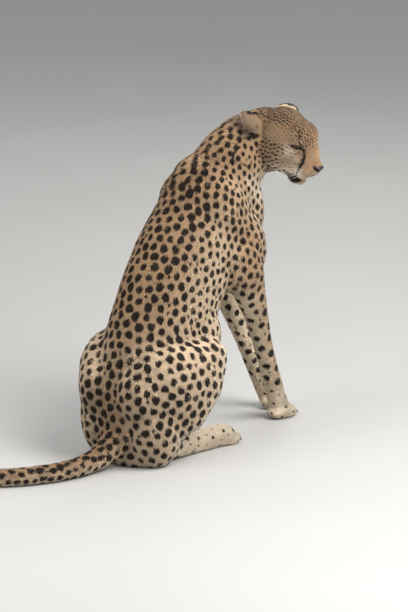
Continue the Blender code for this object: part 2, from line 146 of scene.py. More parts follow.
# In the head's own frame the nose pad lies this far ahead of the eyes and below them.
NOSE_AHEAD = 0.0605
NOSE_BELOW = 0.0320
# The eyes' middles: ahead of the origin, to each side of it and above it
EYES_X = 0.1340
EYES_Y = float(np.linalg.norm(EYE["left"] - EYE["right"])) / 2
EYES_Z = 0.0330


def head_frame():
    """Rows are the head's forward, left and up directions, and the second value is its origin."""
    middle = (EYE["right"] + EYE["left"]) / 2
    left = unit(EYE["left"] - EYE["right"])
    to_nose = NOSE - middle
    to_nose = unit(to_nose - left * (to_nose @ left))
    drop = math.atan2(NOSE_BELOW, NOSE_AHEAD)
    up_like = np.cross(to_nose, left)
    forward = to_nose * math.cos(drop) + up_like * math.sin(drop)
    up = np.cross(forward, left)
    turn = np.array([forward, left, up])
    origin = middle - forward * EYES_X - up * EYES_Z
    return turn, origin


HEAD_TURN, HEAD_ORIGIN = head_frame()


def to_head(points):
    return (np.asarray(points, float) - HEAD_ORIGIN) @ HEAD_TURN.T


def from_head(points):
    return np.asarray(points, float) @ HEAD_TURN + HEAD_ORIGIN


def head_way(way):
    """A direction in the head's frame, in the world."""
    return unit(np.asarray(way, float) @ HEAD_TURN)


# ---------------------------------------------------------------- meshes as arrays
def mesh_points(mesh, kind="co"):
    flat = np.empty(len(mesh.vertices) * 3, np.float32)
    mesh.vertices.foreach_get(kind, flat)
    return flat.reshape(-1, 3).astype(float)


def move_points(mesh, points):
    mesh.vertices.foreach_set("co", np.asarray(points, np.float32).ravel())
    mesh.update()


def edge_ends(mesh):
    flat = np.empty(len(mesh.edges) * 2, np.int32)
    mesh.edges.foreach_get("vertices", flat)
    return flat.reshape(-1, 2)


def triangle_corners(mesh, kind):
    """The points or the loops at the corners of the mesh's triangles, a row for each."""
    flat = np.empty(len(mesh.loop_triangles) * 3, np.int32)
    mesh.loop_triangles.foreach_get(kind, flat)
    return flat.reshape(-1, 3)


def spread(values, ends, times, share=0.5, hold=None):
    """Averages a value with its neighbours' along the edges, again and again."""
    values = np.array(values, float)
    count = len(values)
    one_column = values.ndim == 1
    if one_column:
        values = values[:, None]
    a, b = ends[:, 0], ends[:, 1]
    near = np.bincount(a, minlength=count) + np.bincount(b, minlength=count)
    near = np.maximum(near, 1)[:, None]
    pull = share if hold is None else share * hold[:, None]
    for _ in range(times):
        total = np.empty_like(values)
        for c in range(values.shape[1]):
            column = values[:, c]
            total[:, c] = np.bincount(a, column[b], count) + np.bincount(b, column[a], count)
        values = values + (total / near - values) * pull
    return values[:, 0] if one_column else values


def evaluated(obj):
    """The object with its modifiers worked into a plain mesh."""
    graph = bpy.context.evaluated_depsgraph_get()
    mesh = bpy.data.meshes.new_from_object(obj.evaluated_get(graph))
    obj.modifiers.clear()
    old = obj.data
    obj.data = mesh
    bpy.data.meshes.remove(old)
    return obj


def link(obj):
    bpy.context.scene.collection.objects.link(obj)
    return obj


def smooth_shade(mesh):
    mesh.polygons.foreach_set("use_smooth", np.ones(len(mesh.polygons), bool))


def face_outward(mesh):
    bm = bmesh.new()
    bm.from_mesh(mesh)
    bmesh.ops.recalc_face_normals(bm, faces=bm.faces)
    bm.to_mesh(mesh)
    bm.free()


def store(mesh, name, values, kind="FLOAT"):
    layer = mesh.attributes.new(name, kind, "POINT")
    field = {"FLOAT": "value", "FLOAT_VECTOR": "vector", "FLOAT_COLOR": "color"}[kind]
    values = np.asarray(values, np.float32)
    if kind == "FLOAT_COLOR":
        values = np.concatenate([values, np.ones((len(values), 1), np.float32)], 1)
    layer.data.foreach_set(field, values.ravel())


# ---------------------------------------------------------------- node trees
# The places of the colour sockets on a Mix node
MIX_SHARE, MIX_FIRST, MIX_SECOND, MIX_RESULT = 0, 6, 7, 2
# How far the hair streaks are drawn out: 0 leaves the noise round, 1 makes it endless
STREAK_DRAW = 0.88


def feed(tree, slot, value):
    """Links a socket, or sets its value."""
    if isinstance(value, Socket):
        tree.links.new(value.socket, slot)
        return
    if slot.type == "RGBA" and len(value) == 3:
        value = (*value, 1.0)
    slot.default_value = value


def add_node(tree, kind, settings=None, values=None, output=0):
    """Adds a node: its settings first, then the values or links of its sockets, by name or by place."""
    made = tree.nodes.new(kind)
    for name, setting in (settings or {}).items():
        setattr(made, name, setting)
    for slot, value in (values or {}).items():
        feed(tree, made.inputs[slot], value)
    return Socket(tree, made.outputs[output]) if made.outputs else None


class Socket:
    """A socket that can be written into Python expressions; each operator adds one Math node."""

    def __init__(self, tree, socket):
        self.tree = tree
        self.socket = socket

    def math(self, operation, *values):
        return add_node(self.tree, "ShaderNodeMath", {"operation": operation}, dict(enumerate(values)))

    def __add__(self, other):
        return self.math("ADD", self, other)

    def __sub__(self, other):
        return self.math("SUBTRACT", self, other)

    def __rsub__(self, other):
        return self.math("SUBTRACT", other, self)

    def __mul__(self, other):
        return self.math("MULTIPLY", self, other)

    __radd__ = __add__
    __rmul__ = __mul__

    def step(self, low, high):
        """0 below low, 1 above high, smooth between."""
        settings = {"interpolation_type": "SMOOTHSTEP"}
        values = {"Value": self, "From Min": low, "From Max": high}
        return add_node(self.tree, "ShaderNodeMapRange", settings, values, "Result")


class Finish:
    """One material's node tree, with short ways to add nodes."""

    def __init__(self, name):
        self.material = bpy.data.materials.new(name)
        self.material.use_nodes = True
        self.tree = self.material.node_tree
        self.shader = self.tree.nodes["Principled BSDF"]

    def node(self, kind, settings=None, values=None, output=0):
        return add_node(self.tree, kind, settings, values, output)

    def attribute(self, name, output="Fac"):
        return self.node("ShaderNodeAttribute", {"attribute_name": name}, output=output)

    def place(self):
        return self.node("ShaderNodeTexCoord", output="Object")

    def noise(self, scale, detail=2.0, rough=0.5, at=None):
        values = {"Vector": at or self.place(), "Scale": scale, "Detail": detail, "Roughness": rough}
        return self.node("ShaderNodeTexNoise", None, values, "Fac")

    def vector(self, operation, values, output=0):
        return self.node("ShaderNodeVectorMath", {"operation": operation}, values, output)

    def scaled(self, vector, factor):
        """A colour made lighter or darker by a value, or a vector made longer or shorter."""
        return self.vector("SCALE", {0: vector, "Scale": factor})

    def streaks(self, scale):
        """Fine noise drawn out along the lie of the coat."""
        place = self.place()
        lie = self.attribute("lie", "Vector")
        along = self.vector("DOT_PRODUCT", {0: place, 1: lie}, "Value")
        squeezed = self.vector("SUBTRACT", {0: place, 1: self.scaled(lie, along * STREAK_DRAW)})
        return self.noise(scale, 2.0, 0.6, at=squeezed)

    def blend(self, a, b, share):
        """A mix of two colours."""
        values = {MIX_SHARE: share, MIX_FIRST: a, MIX_SECOND: b}
        return self.node("ShaderNodeMix", {"data_type": "RGBA"}, values, MIX_RESULT)

    def bump(self, height, strength, distance):
        values = {"Strength": strength, "Distance": distance, "Height": height}
        return self.node("ShaderNodeBump", None, values, "Normal")

    def set(self, **values):
        """Sets the shader's sockets, named with _ for each space, and gives back the finished material."""
        for name, value in values.items():
            feed(self.tree, self.shader.inputs[name.replace("_", " ")], value)
        return self.material


# ---------------------------------------------------------------- skin: shape
FLESH = sorted(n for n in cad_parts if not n.startswith(("eye_", "nose")))
FUSED = [*FLESH, "nose"]
# A ball in each orbit keeps the fused skin whole there, a little wider than the eyeball
ORBIT_PLUG = 1.08


def fused_flesh():
    """All flesh nodes as one closed skin, with the thin cuts between them closed."""
    bm = bmesh.new()
    for name in FUSED:
        bm.from_mesh(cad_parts[name].data)
    for word, _ in SIDES:
        plug = Matrix.Translation(EYE[word]) @ Matrix.Scale(EYE_RADIUS * ORBIT_PLUG, 4)
        bmesh.ops.create_uvsphere(bm, u_segments=24, v_segments=12, radius=1.0, matrix=plug)
    bmesh.ops.remove_doubles(bm, verts=bm.verts, dist=1e-5)
    mesh = bpy.data.meshes.new("skin")
    bm.to_mesh(mesh)
    bm.free()
    skin = link(bpy.data.objects.new("skin", mesh))
    step = skin.modifiers.new("fuse", "REMESH")
    step.mode = "VOXEL"
    step.voxel_size = SKIN_VOXEL
    return evaluated(skin)


# In the head's frame, a ball that holds the head, and the middle of the muzzle
HEAD_BALL = ((0.09, 0, 0), 0.145)
MUZZLE = (0.155, 0, 0)


def fine_zone(points):
    """1 on the head, ears and paws, 0 on the body."""
    h = to_head(points)
    middle, reach = HEAD_BALL
    head = ramp(0.015, 0.055, h[:, 0]) * ramp(-0.125, -0.09, h[:, 2])
    head = head * (1 - ramp(0.0, 0.03, np.maximum(distance(h, middle) - reach, 0)))
    ears = np.zeros(len(points))
    for word, _ in SIDES:
        ears = np.maximum(ears, 1 - ramp(0.0, 0.012, outside_box(points, f"ear_{word}")))
    paws = (1 - ramp(0.045, 0.075, points[:, 2])) * (1 - ramp(-0.24, -0.18, points[:, 1]))
    return np.maximum.reduce([head, ears, paws])


def push(points, centre, radius, way, amount):
    """Moves points near a centre along a way, fading to nothing at the radius."""
    gap = distance(points, centre) / radius
    share = np.where(gap < 1, (1 - np.minimum(gap, 1) ** 2) ** 2, 0)
    return points + share[:, None] * np.asarray(way) * amount


def push_all(points, pushes, side=1):
    """Works in a list of pushes; side -1 turns them over to the right side."""
    mirror = np.array([1, side, 1])
    for centre, radius, way, amount in pushes:
        points = push(points, np.array(centre) * mirror, radius, np.array(way) * mirror, amount)
    return points


# Eyelids: the opening's half width, its height above and below, how far its corners hang and its turn
LID_HALF_WIDTH = 0.0128
LID_UPPER = 0.0036
LID_LOWER = 0.0042
LID_BOW = 0.0012
LID_TILT = math.radians(1)
# The lids stand this far off the eyeball, and inside the opening the skin sinks this far under it
LID_STAND = 0.0016
OPENING_SINK = 0.0035
LID_FOLD = 0.0009
# No part of the lids comes nearer to the eyeball than this
LID_CLEAR = 0.0020
# The way that the eye's opening faces, on the left side
EYE_FACING = (0.66, 0.70, 0.22)


def eye_axes(side):
    """The eye opening's outward, along and across directions, in the head's frame."""
    out = unit(np.array(EYE_FACING) * [1, side, 1])
    along = unit(np.cross(out, [0, 0, 1])) * -side
    along = unit(along - out * (along @ out))
    across = unit(np.cross(out, along))
    across = across * np.sign(across[2])
    back = along * math.cos(LID_TILT) + across * math.sin(LID_TILT)
    over = across * math.cos(LID_TILT) - along * math.sin(LID_TILT)
    return out, back, over


def lid_measure(h, side):
    """Where points lie about an eye, in the head's frame.

    Gives 0 at the middle of the eye's opening and 1 at the lids' edge, measured over the eyeball, then the
    places from the eyeball's middle, their distances from it, and how far ahead of it they lie.
    """
    out, back, over = eye_axes(side)
    rel = h - [EYES_X, side * EYES_Y, EYES_Z]
    ahead = rel @ out
    s = EYE_RADIUS * np.arctan2(rel @ back, np.maximum(ahead, 1e-5))
    t = EYE_RADIUS * np.arctan2(rel @ over, np.hypot(np.maximum(ahead, 1e-5), rel @ back))
    t = t - LID_BOW * (1 - (s / LID_HALF_WIDTH) ** 2)
    tall = np.where(t > 0, LID_UPPER, LID_LOWER)
    measure = np.sqrt((s / LID_HALF_WIDTH) ** 2 + (t / tall) ** 2)
    return measure, rel, np.linalg.norm(rel, axis=1), ahead


def set_eyes(h):
    """Opens the lids over each eyeball and hollows the orbit round them."""
    for _, side in SIDES:
        measure, rel, radius, ahead = lid_measure(h, side)
        facing = ramp(0.05, 0.45, ahead / np.maximum(radius, 1e-6))
        near = (facing > 0) & (measure < 3.2) & (radius < EYE_RADIUS * 2.4)
        wanted = np.where(measure < 1, EYE_RADIUS - OPENING_SINK, EYE_RADIUS + LID_STAND)
        fold = LID_FOLD * bell(measure - 1.75, 0.22)
        share = np.where(measure < 1, 1.0, 1 - ramp(1.25, 3.0, measure)) * facing
        target = mix(radius, wanted + fold, share)
        scale = np.where(near, target / np.maximum(radius, 1e-6), 1.0)
        h = (rel * scale[:, None]) + [EYES_X, side * EYES_Y, EYES_Z]
    return h


# Ears, in the head's frame: root, the way the tip points and the way the rounded back faces
EAR_ROOT = {-1: (0.023, -0.056, 0.032), 1: (0.021, 0.050, 0.044)}
EAR_TIP = {-1: (-0.55, -0.72, 0.40), 1: (-0.35, 0.93, 0.02)}
EAR_BACK = {-1: (0.46, 0.12, 0.87), 1: (-0.23, -0.11, 0.97)}
# The ear's middle lies this far along it from its root
EAR_MIDDLE = 0.027

MOUTH_HINGE = (0.134, -0.0435)
MOUTH_SLOPE = math.tan(math.radians(3.5))
# The lips' opening is narrowed by this share
LIP_CLOSING = 0.62
# Rolls along the lips: height off the line between them, how far each stands out, and their width
LIP_ROLLS = [(-0.0040, 0.0012), (0.0034, 0.0008)]
LIP_ROLL_WIDTH = 0.0022


def mouth_height(x):
    """The height of the line between the lips, in the head's frame."""
    return MOUTH_HINGE[1] - (x - MOUTH_HINGE[0]) * MOUTH_SLOPE


def close_lips(h):
    """Draws the lips together until a narrow slit is left, and rolls their rims outward."""
    over = h[:, 2] - mouth_height(h[:, 0])
    behind = ramp(0.124, 0.132, h[:, 0])
    share = behind * (1 - ramp(0.0065, 0.0120, np.abs(over)))
    h = h.copy()
    h[:, 2] -= over * LIP_CLOSING * share
    over = h[:, 2] - mouth_height(h[:, 0])
    roll = behind * sum(bell(over - at, LIP_ROLL_WIDTH) * rise for at, rise in LIP_ROLLS)
    out = unit((h - [0.140, 0.0, 0.0]) * [1.0, 1.0, 0.0])
    return h + out * roll[:, None]


# Pushes that model the head, in its own frame, given for the left side: centre, radius, way, amount
FACE_PUSHES = [
    ((0.150, 0.0300, 0.0180), 0.021, (-0.2, -1, 0), 0.0028),  # hollow ahead of the eye
    ((0.184, 0.0200, -0.0160), 0.017, (0.3, 1, 0), 0.0022),  # whisker pad
    ((0.118, 0.0540, 0.0330), 0.024, (0, -1, 0), 0.0030),  # hollow behind the eye
    ((0.140, 0.0300, 0.0560), 0.020, (0.5, 0.4, 0.6), 0.0022),  # brow
    ((0.086, 0.0660, -0.0150), 0.034, (0, 1, 0), 0.0030),  # cheek
    ((0.152, 0.0360, -0.0400), 0.016, (0, -1, 0.1), 0.0020),  # corner of the lips
]
MIDDLE_PUSHES = [
    ((0.205, 0.0, -0.0210), 0.010, (-1, 0, 0), 0.0022),  # groove under the nose
    ((0.196, 0.0, -0.0330), 0.010, (-1, 0, 0), 0.0026),  # parting of the upper lip
]


def model_head(points):
    """Folds, muzzle, brow, cheeks and eyes, worked into the fused skin in the head's own frame."""
    h = to_head(points)
    near = distance(h, [0.11, 0, 0]) < 0.17
    part = h[near]
    for _, side in SIDES:
        part = push_all(part, FACE_PUSHES, side)
    part = push_all(part, MIDDLE_PUSHES)
    part = close_lips(part)
    part = set_eyes(part)
    points = points.copy()
    points[near] = from_head(part)
    return points


# Paws: the toes' middle lies this far behind the front of the node's box
TOES_BACK = 0.036
# How far the paws turn outward, and the forepaws' middle off that of their box
FOREPAW_TURN = -0.13
HIND_FOOT_TURN = 0.19
FOREPAW_SHIFT = 0.02
# Grooves between the toes
TOE_GAPS = (-0.0160, 0.0, 0.0160)
TOE_GROOVE_WIDTH = 0.0026
TOE_GROOVE_DEPTH = 0.0030


def paw_frames():
    """Each paw's middle of the toes, on the floor, and the way it points."""
    frames = {}
    for word, side in SIDES:
        low, high = box_corners(f"forepaw_{word}")
        x = mix(low[0], high[0], 0.5 + FOREPAW_SHIFT * side)
        tip = np.array([x, low[1] + TOES_BACK, 0.0])
        frames[f"forepaw_{word}"] = (tip, unit([FOREPAW_TURN * side, -1.0, 0.0]))
        low, high = box_corners(f"hind_foot_{word}")
        x = (high[0] - TOES_BACK) if side > 0 else (low[0] + TOES_BACK)
        tip = np.array([x, low[1] + TOES_BACK, 0.0])
        frames[f"hind_foot_{word}"] = (tip, unit([HIND_FOOT_TURN * side, -1.0, 0.0]))
    return frames


PAWS = paw_frames()


def across_paw(way):
    return np.array([way[1], -way[0], 0.0])


def model_paws(points):
    """Grooves between the toes."""
    for tip, way in PAWS.values():
        rel = points - tip
        u = rel @ across_paw(way)
        v = rel @ way
        near = (np.abs(u) < 0.05) & (v > -0.03) & (v < 0.05) & (points[:, 2] < 0.06)
        share = ramp(-0.022, 0.004, v) * near * ramp(0.0, 0.006, points[:, 2])
        cut = sum(bell(u - gap, TOE_GROOVE_WIDTH) for gap in TOE_GAPS)
        middle = tip + [0, 0, 0.012] - way * 0.02
        inward = unit(middle - points)
        points = points + inward * (cut * share * TOE_GROOVE_DEPTH)[:, None]
    return points


# ---------------------------------------------------------------- regions of the coat
class Region(NamedTuple):
    """One stretch of the coat, round the line from start to end."""

    name: str
    start: np.ndarray
    end: np.ndarray
    # How far from the line it counts
    reach: float
    # The way the hair lies, and the way that the darker side of the body faces
    lie: np.ndarray
    dark: np.ndarray
    # The coat's depth, and a tuft's length and width
    depth: float
    long: float
    wide: float
    # The spots' spacing and radius
    gap: float
    spot: float


UP = (0, 0, 1)
# The way the back faces where the body sits upright
BACK = (0, 0.80, 0.60)
# Depth of the short coat of the body, and length and width of its tufts
BODY_COAT = (0.0038, 0.0100, 0.0020)


def body_regions(add):
    add("trunk", (0, -0.30, 0.60), (0, -0.17, 0.38), 0.12, (0, 0.42, -0.9), BACK, BODY_COAT, 0.0286, 0.0103)
    add("trunk", (0, -0.17, 0.38), (0, -0.04, 0.16), 0.12, (0, 0.25, -0.97), BACK, BODY_COAT, 0.0304, 0.0110)
    belly = (0.0060, 0.0150, 0.0024)
    add("trunk", (0, -0.30, 0.31), (0, -0.20, 0.16), 0.05, (0, 0.5, -0.87), BACK, belly, 0.0330, 0.0074)
    withers = (0.0048, 0.0115, 0.0022)
    add("neck", (0, -0.34, 0.66), (0, -0.44, 0.73), 0.09, (0, 0.62, -0.78), BACK, withers, 0.0250, 0.0084)
    nape = (0.0045, 0.0110, 0.0021)
    nape_dark = (0, 0.6, 0.8)
    add("neck", (0, -0.44, 0.72), (0, -0.50, 0.76), 0.07, (0.1, 0.62, -0.78), nape_dark, nape, 0.0220, 0.0062)
    throat = (0.0050, 0.0120, 0.0022)
    add("neck", (0, -0.47, 0.64), (0, -0.45, 0.56), 0.05, (0, 0.12, -1), BACK, throat, 0.0210, 0.0062)


def leg_regions(add):
    for word, s in SIDES:
        fore = f"forearm_{word}"
        out = (0.7 * s, -0.7, 0.1)
        top = box_point(fore, 0.5, 0.85, 1.0)
        low = box_point(fore, 0.5, 0.25, 0.1)
        shoulder = (0.0038, 0.0095, 0.0020)
        add("forelegs", (0.085 * s, -0.34, 0.60), (0.10 * s, -0.37, 0.46), 0.06, (0, -0.1, -1), (s, 0.5, 0.4),
            shoulder, 0.0262, 0.0088)
        add("forelegs", top, low, 0.045, (0, -0.4, -0.9), out, (0.0030, 0.0080, 0.0018), 0.0375, 0.0112)
        tip, way = PAWS[f"forepaw_{word}"]
        add("feet", tip + [0.008 * s, 0.06, 0.07], tip + [0, 0.0, 0.018], 0.035, (*(way[:2] * 0.8), -0.3),
            out, (0.0020, 0.0058, 0.0018), 0.0320, 0.0038)
        add("thighs", (0.10 * s, -0.02, 0.24), (0.125 * s, -0.14, 0.24), 0.09, (0.05 * s, -0.35, -0.94),
            (s, 0.8, 0.8), BODY_COAT, 0.0308, 0.0104)
        add("thighs", (0.10 * s, 0.00, 0.12), (0.11 * s, -0.08, 0.10), 0.07, (0, -0.25, -0.97), (s, 0.9, 0.5),
            BODY_COAT, 0.0298, 0.0104)
        tip, way = PAWS[f"hind_foot_{word}"]
        add("feet", tip - way * 0.17 + [0, 0, 0.035], tip + [0, 0, 0.02], 0.035, (*way[:2], -0.12),
            (s, 0, 0.8), (0.0024, 0.0066, 0.0018), 0.0450, 0.0050)


def tail_regions(add):
    rump = box_point("tail_root", 0.5, 0.1, 0.7)
    bend = box_point("tail_root", 0.5, 0.95, 0.5)
    late = box_point("tail_middle", 0.7, 0.8, 0.5)
    tip = box_point("tail_tip", 0.95, 0.95, 0.5)
    add("tail", rump, bend, 0.035, (0.05, 1, -0.25), UP, (0.0040, 0.0105, 0.0021), 0.0262, 0.0104)
    add("tail", bend, late, 0.03, late - bend, UP, (0.0042, 0.0110, 0.0022), 0.0265, 0.0096)
    add("tail", late, tip, 0.03, tip - late, UP, (0.0052, 0.0130, 0.0023), 0.0290, 0.0098)


def head_regions(add):
    """The head's regions are given in its own frame."""

    dark = head_way((0.1, 0, 1))

    def on_head(start, end, reach, lie, coat, *spots):
        add("head", from_head(start), from_head(end), reach, head_way(lie), dark, coat, *spots)

    forehead = (0.0020, 0.0058, 0.0016)
    crown = (0.0028, 0.0080, 0.0018)
    bridge = (0.0011, 0.0042, 0.0014)
    on_head((0.13, 0, 0.05), (0.10, 0, 0.07), 0.04, (-1, 0, 0.35), forehead, 0.0082, 0.0027)
    on_head((0.07, 0, 0.07), (0.03, 0, 0.06), 0.05, (-1, 0, -0.2), crown, 0.0092, 0.0032)
    on_head((0.15, 0, 0.03), (0.19, 0, 0.012), 0.022, (-1, 0, 0.5), bridge, 0.0120, 0.0004)
    lip = (0.0014, 0.0046, 0.0015)
    cheek = (0.0020, 0.0062, 0.0016)
    jaw = (0.0034, 0.0090, 0.0019)
    temple = (0.0022, 0.0068, 0.0017)
    for _, s in SIDES:
        on_head((0.17, 0.02 * s, -0.02), (0.15, 0.03 * s, -0.035), 0.018, (-1, 0.3 * s, -0.1),
                lip, 0.0075, 0.0010)
        on_head((0.14, 0.04 * s, 0.005), (0.12, 0.045 * s, -0.01), 0.025, (-1, 0.3 * s, -0.15),
                cheek, 0.0120, 0.0016)
        on_head((0.09, 0.055 * s, 0.0), (0.06, 0.06 * s, -0.02), 0.035, (-1, 0.15 * s, -0.35),
                jaw, 0.0110, 0.0034)
        on_head((0.105, 0.05 * s, 0.045), (0.06, 0.06 * s, 0.04), 0.025, (-1, 0.1 * s, 0.0),
                temple, 0.0110, 0.0015)
    chin = (0.0026, 0.0080, 0.0018)
    on_head((0.16, 0, -0.065), (0.10, 0, -0.065), 0.025, (-1, 0, -0.2), chin, 0.0200, 0.0006)


def ear_regions(add):
    for word, s in SIDES:
        low, high = box_corners(f"ear_{word}")
        middle = (low + high) / 2
        way = head_way(EAR_TIP[s])
        add("head", middle - way * 0.02, middle + way * 0.02, 0.024, way, head_way(UP),
            (0.0012, 0.0055, 0.0016), 0.0500, 0.0002)


def all_regions():
    regions = []

    def add(name, start, end, reach, lie, dark, coat, gap, spot):
        line = np.array(start), np.array(end)
        regions.append(Region(name, *line, reach, unit(lie), unit(dark), *coat, gap, spot))

    for part in (body_regions, leg_regions, tail_regions, head_regions, ear_regions):
        part(add)
    return regions


REGIONS = all_regions()
# A region counts evenly within about half its reach, and then less by this power of the distance
REGION_FALL = 6
REGION_CORE = 0.02


def region_shares(points):
    """How much each region counts at each point; the rows add up to 1."""
    shares = np.empty((len(points), len(REGIONS)))
    for k, row in enumerate(REGIONS):
        line = row.end - row.start
        t = np.clip((points - row.start) @ line / (line @ line), 0, 1)
        gap = np.linalg.norm(points - (row.start + t[:, None] * line), axis=1) / row.reach
        shares[:, k] = 1 / (gap**REGION_FALL + REGION_CORE)
    return shares / shares.sum(1, keepdims=True)


def along_regions(shares, field):
    """One of the regions' sizes, blended over the skin."""
    return shares @ np.array([getattr(row, field) for row in REGIONS], float)


# ---------------------------------------------------------------- colours
def srgb(*values):
    return tuple(((v / 255 + 0.055) / 1.055) ** 2.4 if v > 10 else v / 255 / 12.92 for v in values)


TAN_BACK = np.array(srgb(172, 141, 108))
TAN_SIDE = np.array(srgb(172, 143, 111))
TAN_FLANK = np.array(srgb(210, 187, 158))
BUFF = np.array(srgb(230, 212, 186))
CREAM = np.array(srgb(238, 227, 208))
HEAD_BROWN = np.array(srgb(142, 113, 83))
CHEEK_TAN = np.array(srgb(160, 133, 106))
# The right ear's back: its dark hair paled to grey-brown by painted sheen from above
EAR_SHEEN_GREY = np.array(srgb(120, 103, 84))
EAR_CREAM = np.array(srgb(206, 184, 148))
FOOT_PALE = np.array(srgb(190, 175, 153))
SPOT_BLACK = srgb(24, 16, 12)

# ---------------------------------------------------------------- drawn marks
# Far from any mark
NO_MARK = 1.0
# Lines drawn on the side of the face, ahead and up in the head's frame, with half their width from end to end
TEAR_LINE = [(0.1440, 0.0365), (0.1560, 0.0295), (0.1640, 0.0165), (0.1660, -0.0002), (0.1640, -0.0170),
             (0.1620, -0.0290), (0.1600, -0.0400)]
TEAR_WIDTH = ([0, 0.15, 0.5, 0.85, 1], [0.0020, 0.0036, 0.0044, 0.0038, 0.0030])
BROW_LINE = [(0.1480, 0.0400), (0.1440, 0.0500), (0.1380, 0.0610), (0.1300, 0.0715), (0.1220, 0.0780)]
BROW_WIDTH = ([0, 0.25, 0.4, 0.55, 0.7, 0.85, 1], [0.0010, 0.0024, 0.0014, 0.0032, 0.0014, 0.0028, 0])
# The lips' black edges: from corner to front, how far they reach over and under the line between the lips
UPPER_LIP = ([0.122, 0.132, 0.165, 0.185, 0.198], [-0.004, 0.0030, 0.0020, 0.0016, 0.0012])
LOWER_LIP = ([0.120, 0.128, 0.135, 0.150, 0.165, 0.178], [-0.004, 0.0120, 0.0225, 0.0265, 0.0235, 0.0150])
LOWER_LIP_LEAST = 0.0050
# The black rim of the lids ends here, as lid_measure counts
EYE_RIM = 1.46
# Dark strokes on the right side of the neck, in world space, each with half its width
NECK_STROKES = [
    (0.0030, [(-0.055, -0.403, 0.762), (-0.055, -0.388, 0.756), (-0.056, -0.372, 0.745),
              (-0.060, -0.365, 0.735), (-0.068, -0.370, 0.724)]),
    (0.0030, [(-0.070, -0.385, 0.724), (-0.076, -0.402, 0.714), (-0.078, -0.413, 0.702)]),
    (0.0028, [(-0.049, -0.420, 0.775), (-0.051, -0.434, 0.777)]),
    (0.0100, [(-0.050, -0.455, 0.787), (-0.058, -0.454, 0.776)]),
]


def dropped_line(tree, line, side):
    """A line drawn on the side of the head, dropped on the skin."""
    hits = []
    for x, z in line:
        start = Vector(from_head([x, 0.12 * side, z]))
        hit = tree.ray_cast(start, Vector(head_way((0, -side, 0))))
        if hit[0] is not None:
            hits.append(np.array(hit[0]))
    return hits


def face_lines(points, tree, side):
    """The tear line and the streaks of the brow."""
    inner = np.full(len(points), NO_MARK)
    for line, width in ((TEAR_LINE, TEAR_WIDTH), (BROW_LINE, BROW_WIDTH)):
        far, place = chain_gap(points, dropped_line(tree, line, side))
        inner = np.minimum(inner, far - np.interp(place, *width))
    return inner


def eye_rim(h, side):
    measure, _, radius, ahead = lid_measure(h, side)
    seen = (ahead > 0) & (radius < EYE_RADIUS * 1.35)
    return np.where(seen, (measure - EYE_RIM) * 0.006, NO_MARK)


def ear_patch(h, normals, side):
    """Black on the ear's rounded back: the left one's tip, and blotches along the right one's upper edge."""
    tip_way, back_way = unit(EAR_TIP[side]), unit(EAR_BACK[side])
    rel = h - EAR_ROOT[side]
    from_middle = rel - tip_way * EAR_MIDDLE
    on_back = (normals @ back_way > 0.05) & (np.linalg.norm(from_middle, axis=1) < 0.045)
    if side > 0:
        across = np.cross(back_way, tip_way)
        patch = 0.031 - rel @ tip_way + 0.004 * np.sin(rel @ across * 260.0)
    else:
        rise = from_middle @ unit((-0.51, 0.21, 0.84))
        along = from_middle @ unit((0.74, 0.60, 0.30))
        blotches = 0.0175 - rise + 0.0015 * np.sin(along * 700.0)
        patch = np.maximum(blotches, np.abs(along - 0.004) - 0.015)
    return np.where(on_back, patch, NO_MARK)


def lip_edges(h):
    over = h[:, 2] - mouth_height(h[:, 0])
    aside = np.abs(h[:, 1])
    upper = np.interp(h[:, 0], *UPPER_LIP)
    lower = np.interp(h[:, 0], *LOWER_LIP) * ramp(0.000, 0.021, aside)
    lower = np.maximum(lower, LOWER_LIP_LEAST * ramp(0.125, 0.135, h[:, 0]))
    edges = np.maximum(over - upper, -lower - over)
    return np.where(aside < 0.045, edges, NO_MARK)


def nose_oval(h, half_width, half_height):
    """0 at the nose's middle and 1 on an oval round it, narrower at its foot."""
    narrow = 1 - 0.55 * ramp(0.006, -0.014, h[:, 2])
    return np.hypot(h[:, 1] / (half_width * narrow), (h[:, 2] + 0.0040) / half_height)


def nose_marks(h):
    """The black rim of the nose and the groove down from it."""
    groove = np.maximum(np.abs(h[:, 1]) - 0.0011, np.maximum(h[:, 2] + 0.004, -0.040 - h[:, 2]))
    groove = np.where(h[:, 0] > 0.17, groove, NO_MARK)
    rim = np.where(h[:, 0] > 0.183, (nose_oval(h, 0.0212, 0.0108) - 1) * 0.012, NO_MARK)
    return np.minimum(groove, rim)


def neck_strokes(points, tree):
    gap = np.full(len(points), NO_MARK)
    for half, line in NECK_STROKES:
        far, place = chain_gap(points, [tree.find_nearest(Vector(p))[0] for p in line])
        gap = np.minimum(gap, far - half * (0.35 + 0.65 * np.sin(np.pi * (0.1 + 0.8 * place))))
    return gap


def drawn_marks(points, normals, tree):
    """The signed distance to the edge of the black marks that aren't spots: less than 0 inside them."""
    h = to_head(points)
    face = distance(h, [0.10, 0, 0]) < 0.17
    h = h[face]
    turned = normals[face] @ HEAD_TURN.T
    marks = [lip_edges(h), nose_marks(h)]
    for _, side in SIDES:
        marks += [face_lines(points[face], tree, side), eye_rim(h, side), ear_patch(h, turned, side)]
    gap = np.full(len(points), NO_MARK)
    gap[face] = np.minimum.reduce(marks)
    return np.minimum(gap, neck_strokes(points, tree))


# ---------------------------------------------------------------- spots
class Spot(NamedTuple):
    place: np.ndarray
    normal: np.ndarray
    # The way of the hair, along which a spot is drawn out by its stretch
    along: np.ndarray
    radius: float
    stretch: float
    # How much the outline's two-fold and three-fold waves stand out
    shape: np.ndarray
    # The room that the spot takes
    gap: float


# A spot's radius varies between these shares, and its outline's waves by up to these
SPOT_SIZES = (0.84, 1.14)
SPOT_WAVES = (0.10, 0.10, 0.06, 0.06)
# A later spot keeps clear of an earlier one by this many of its radii
SPOT_CLEAR = 1.2
# Spots count each other only where the skin under them faces at least this much alike
ALIKE = 0.1
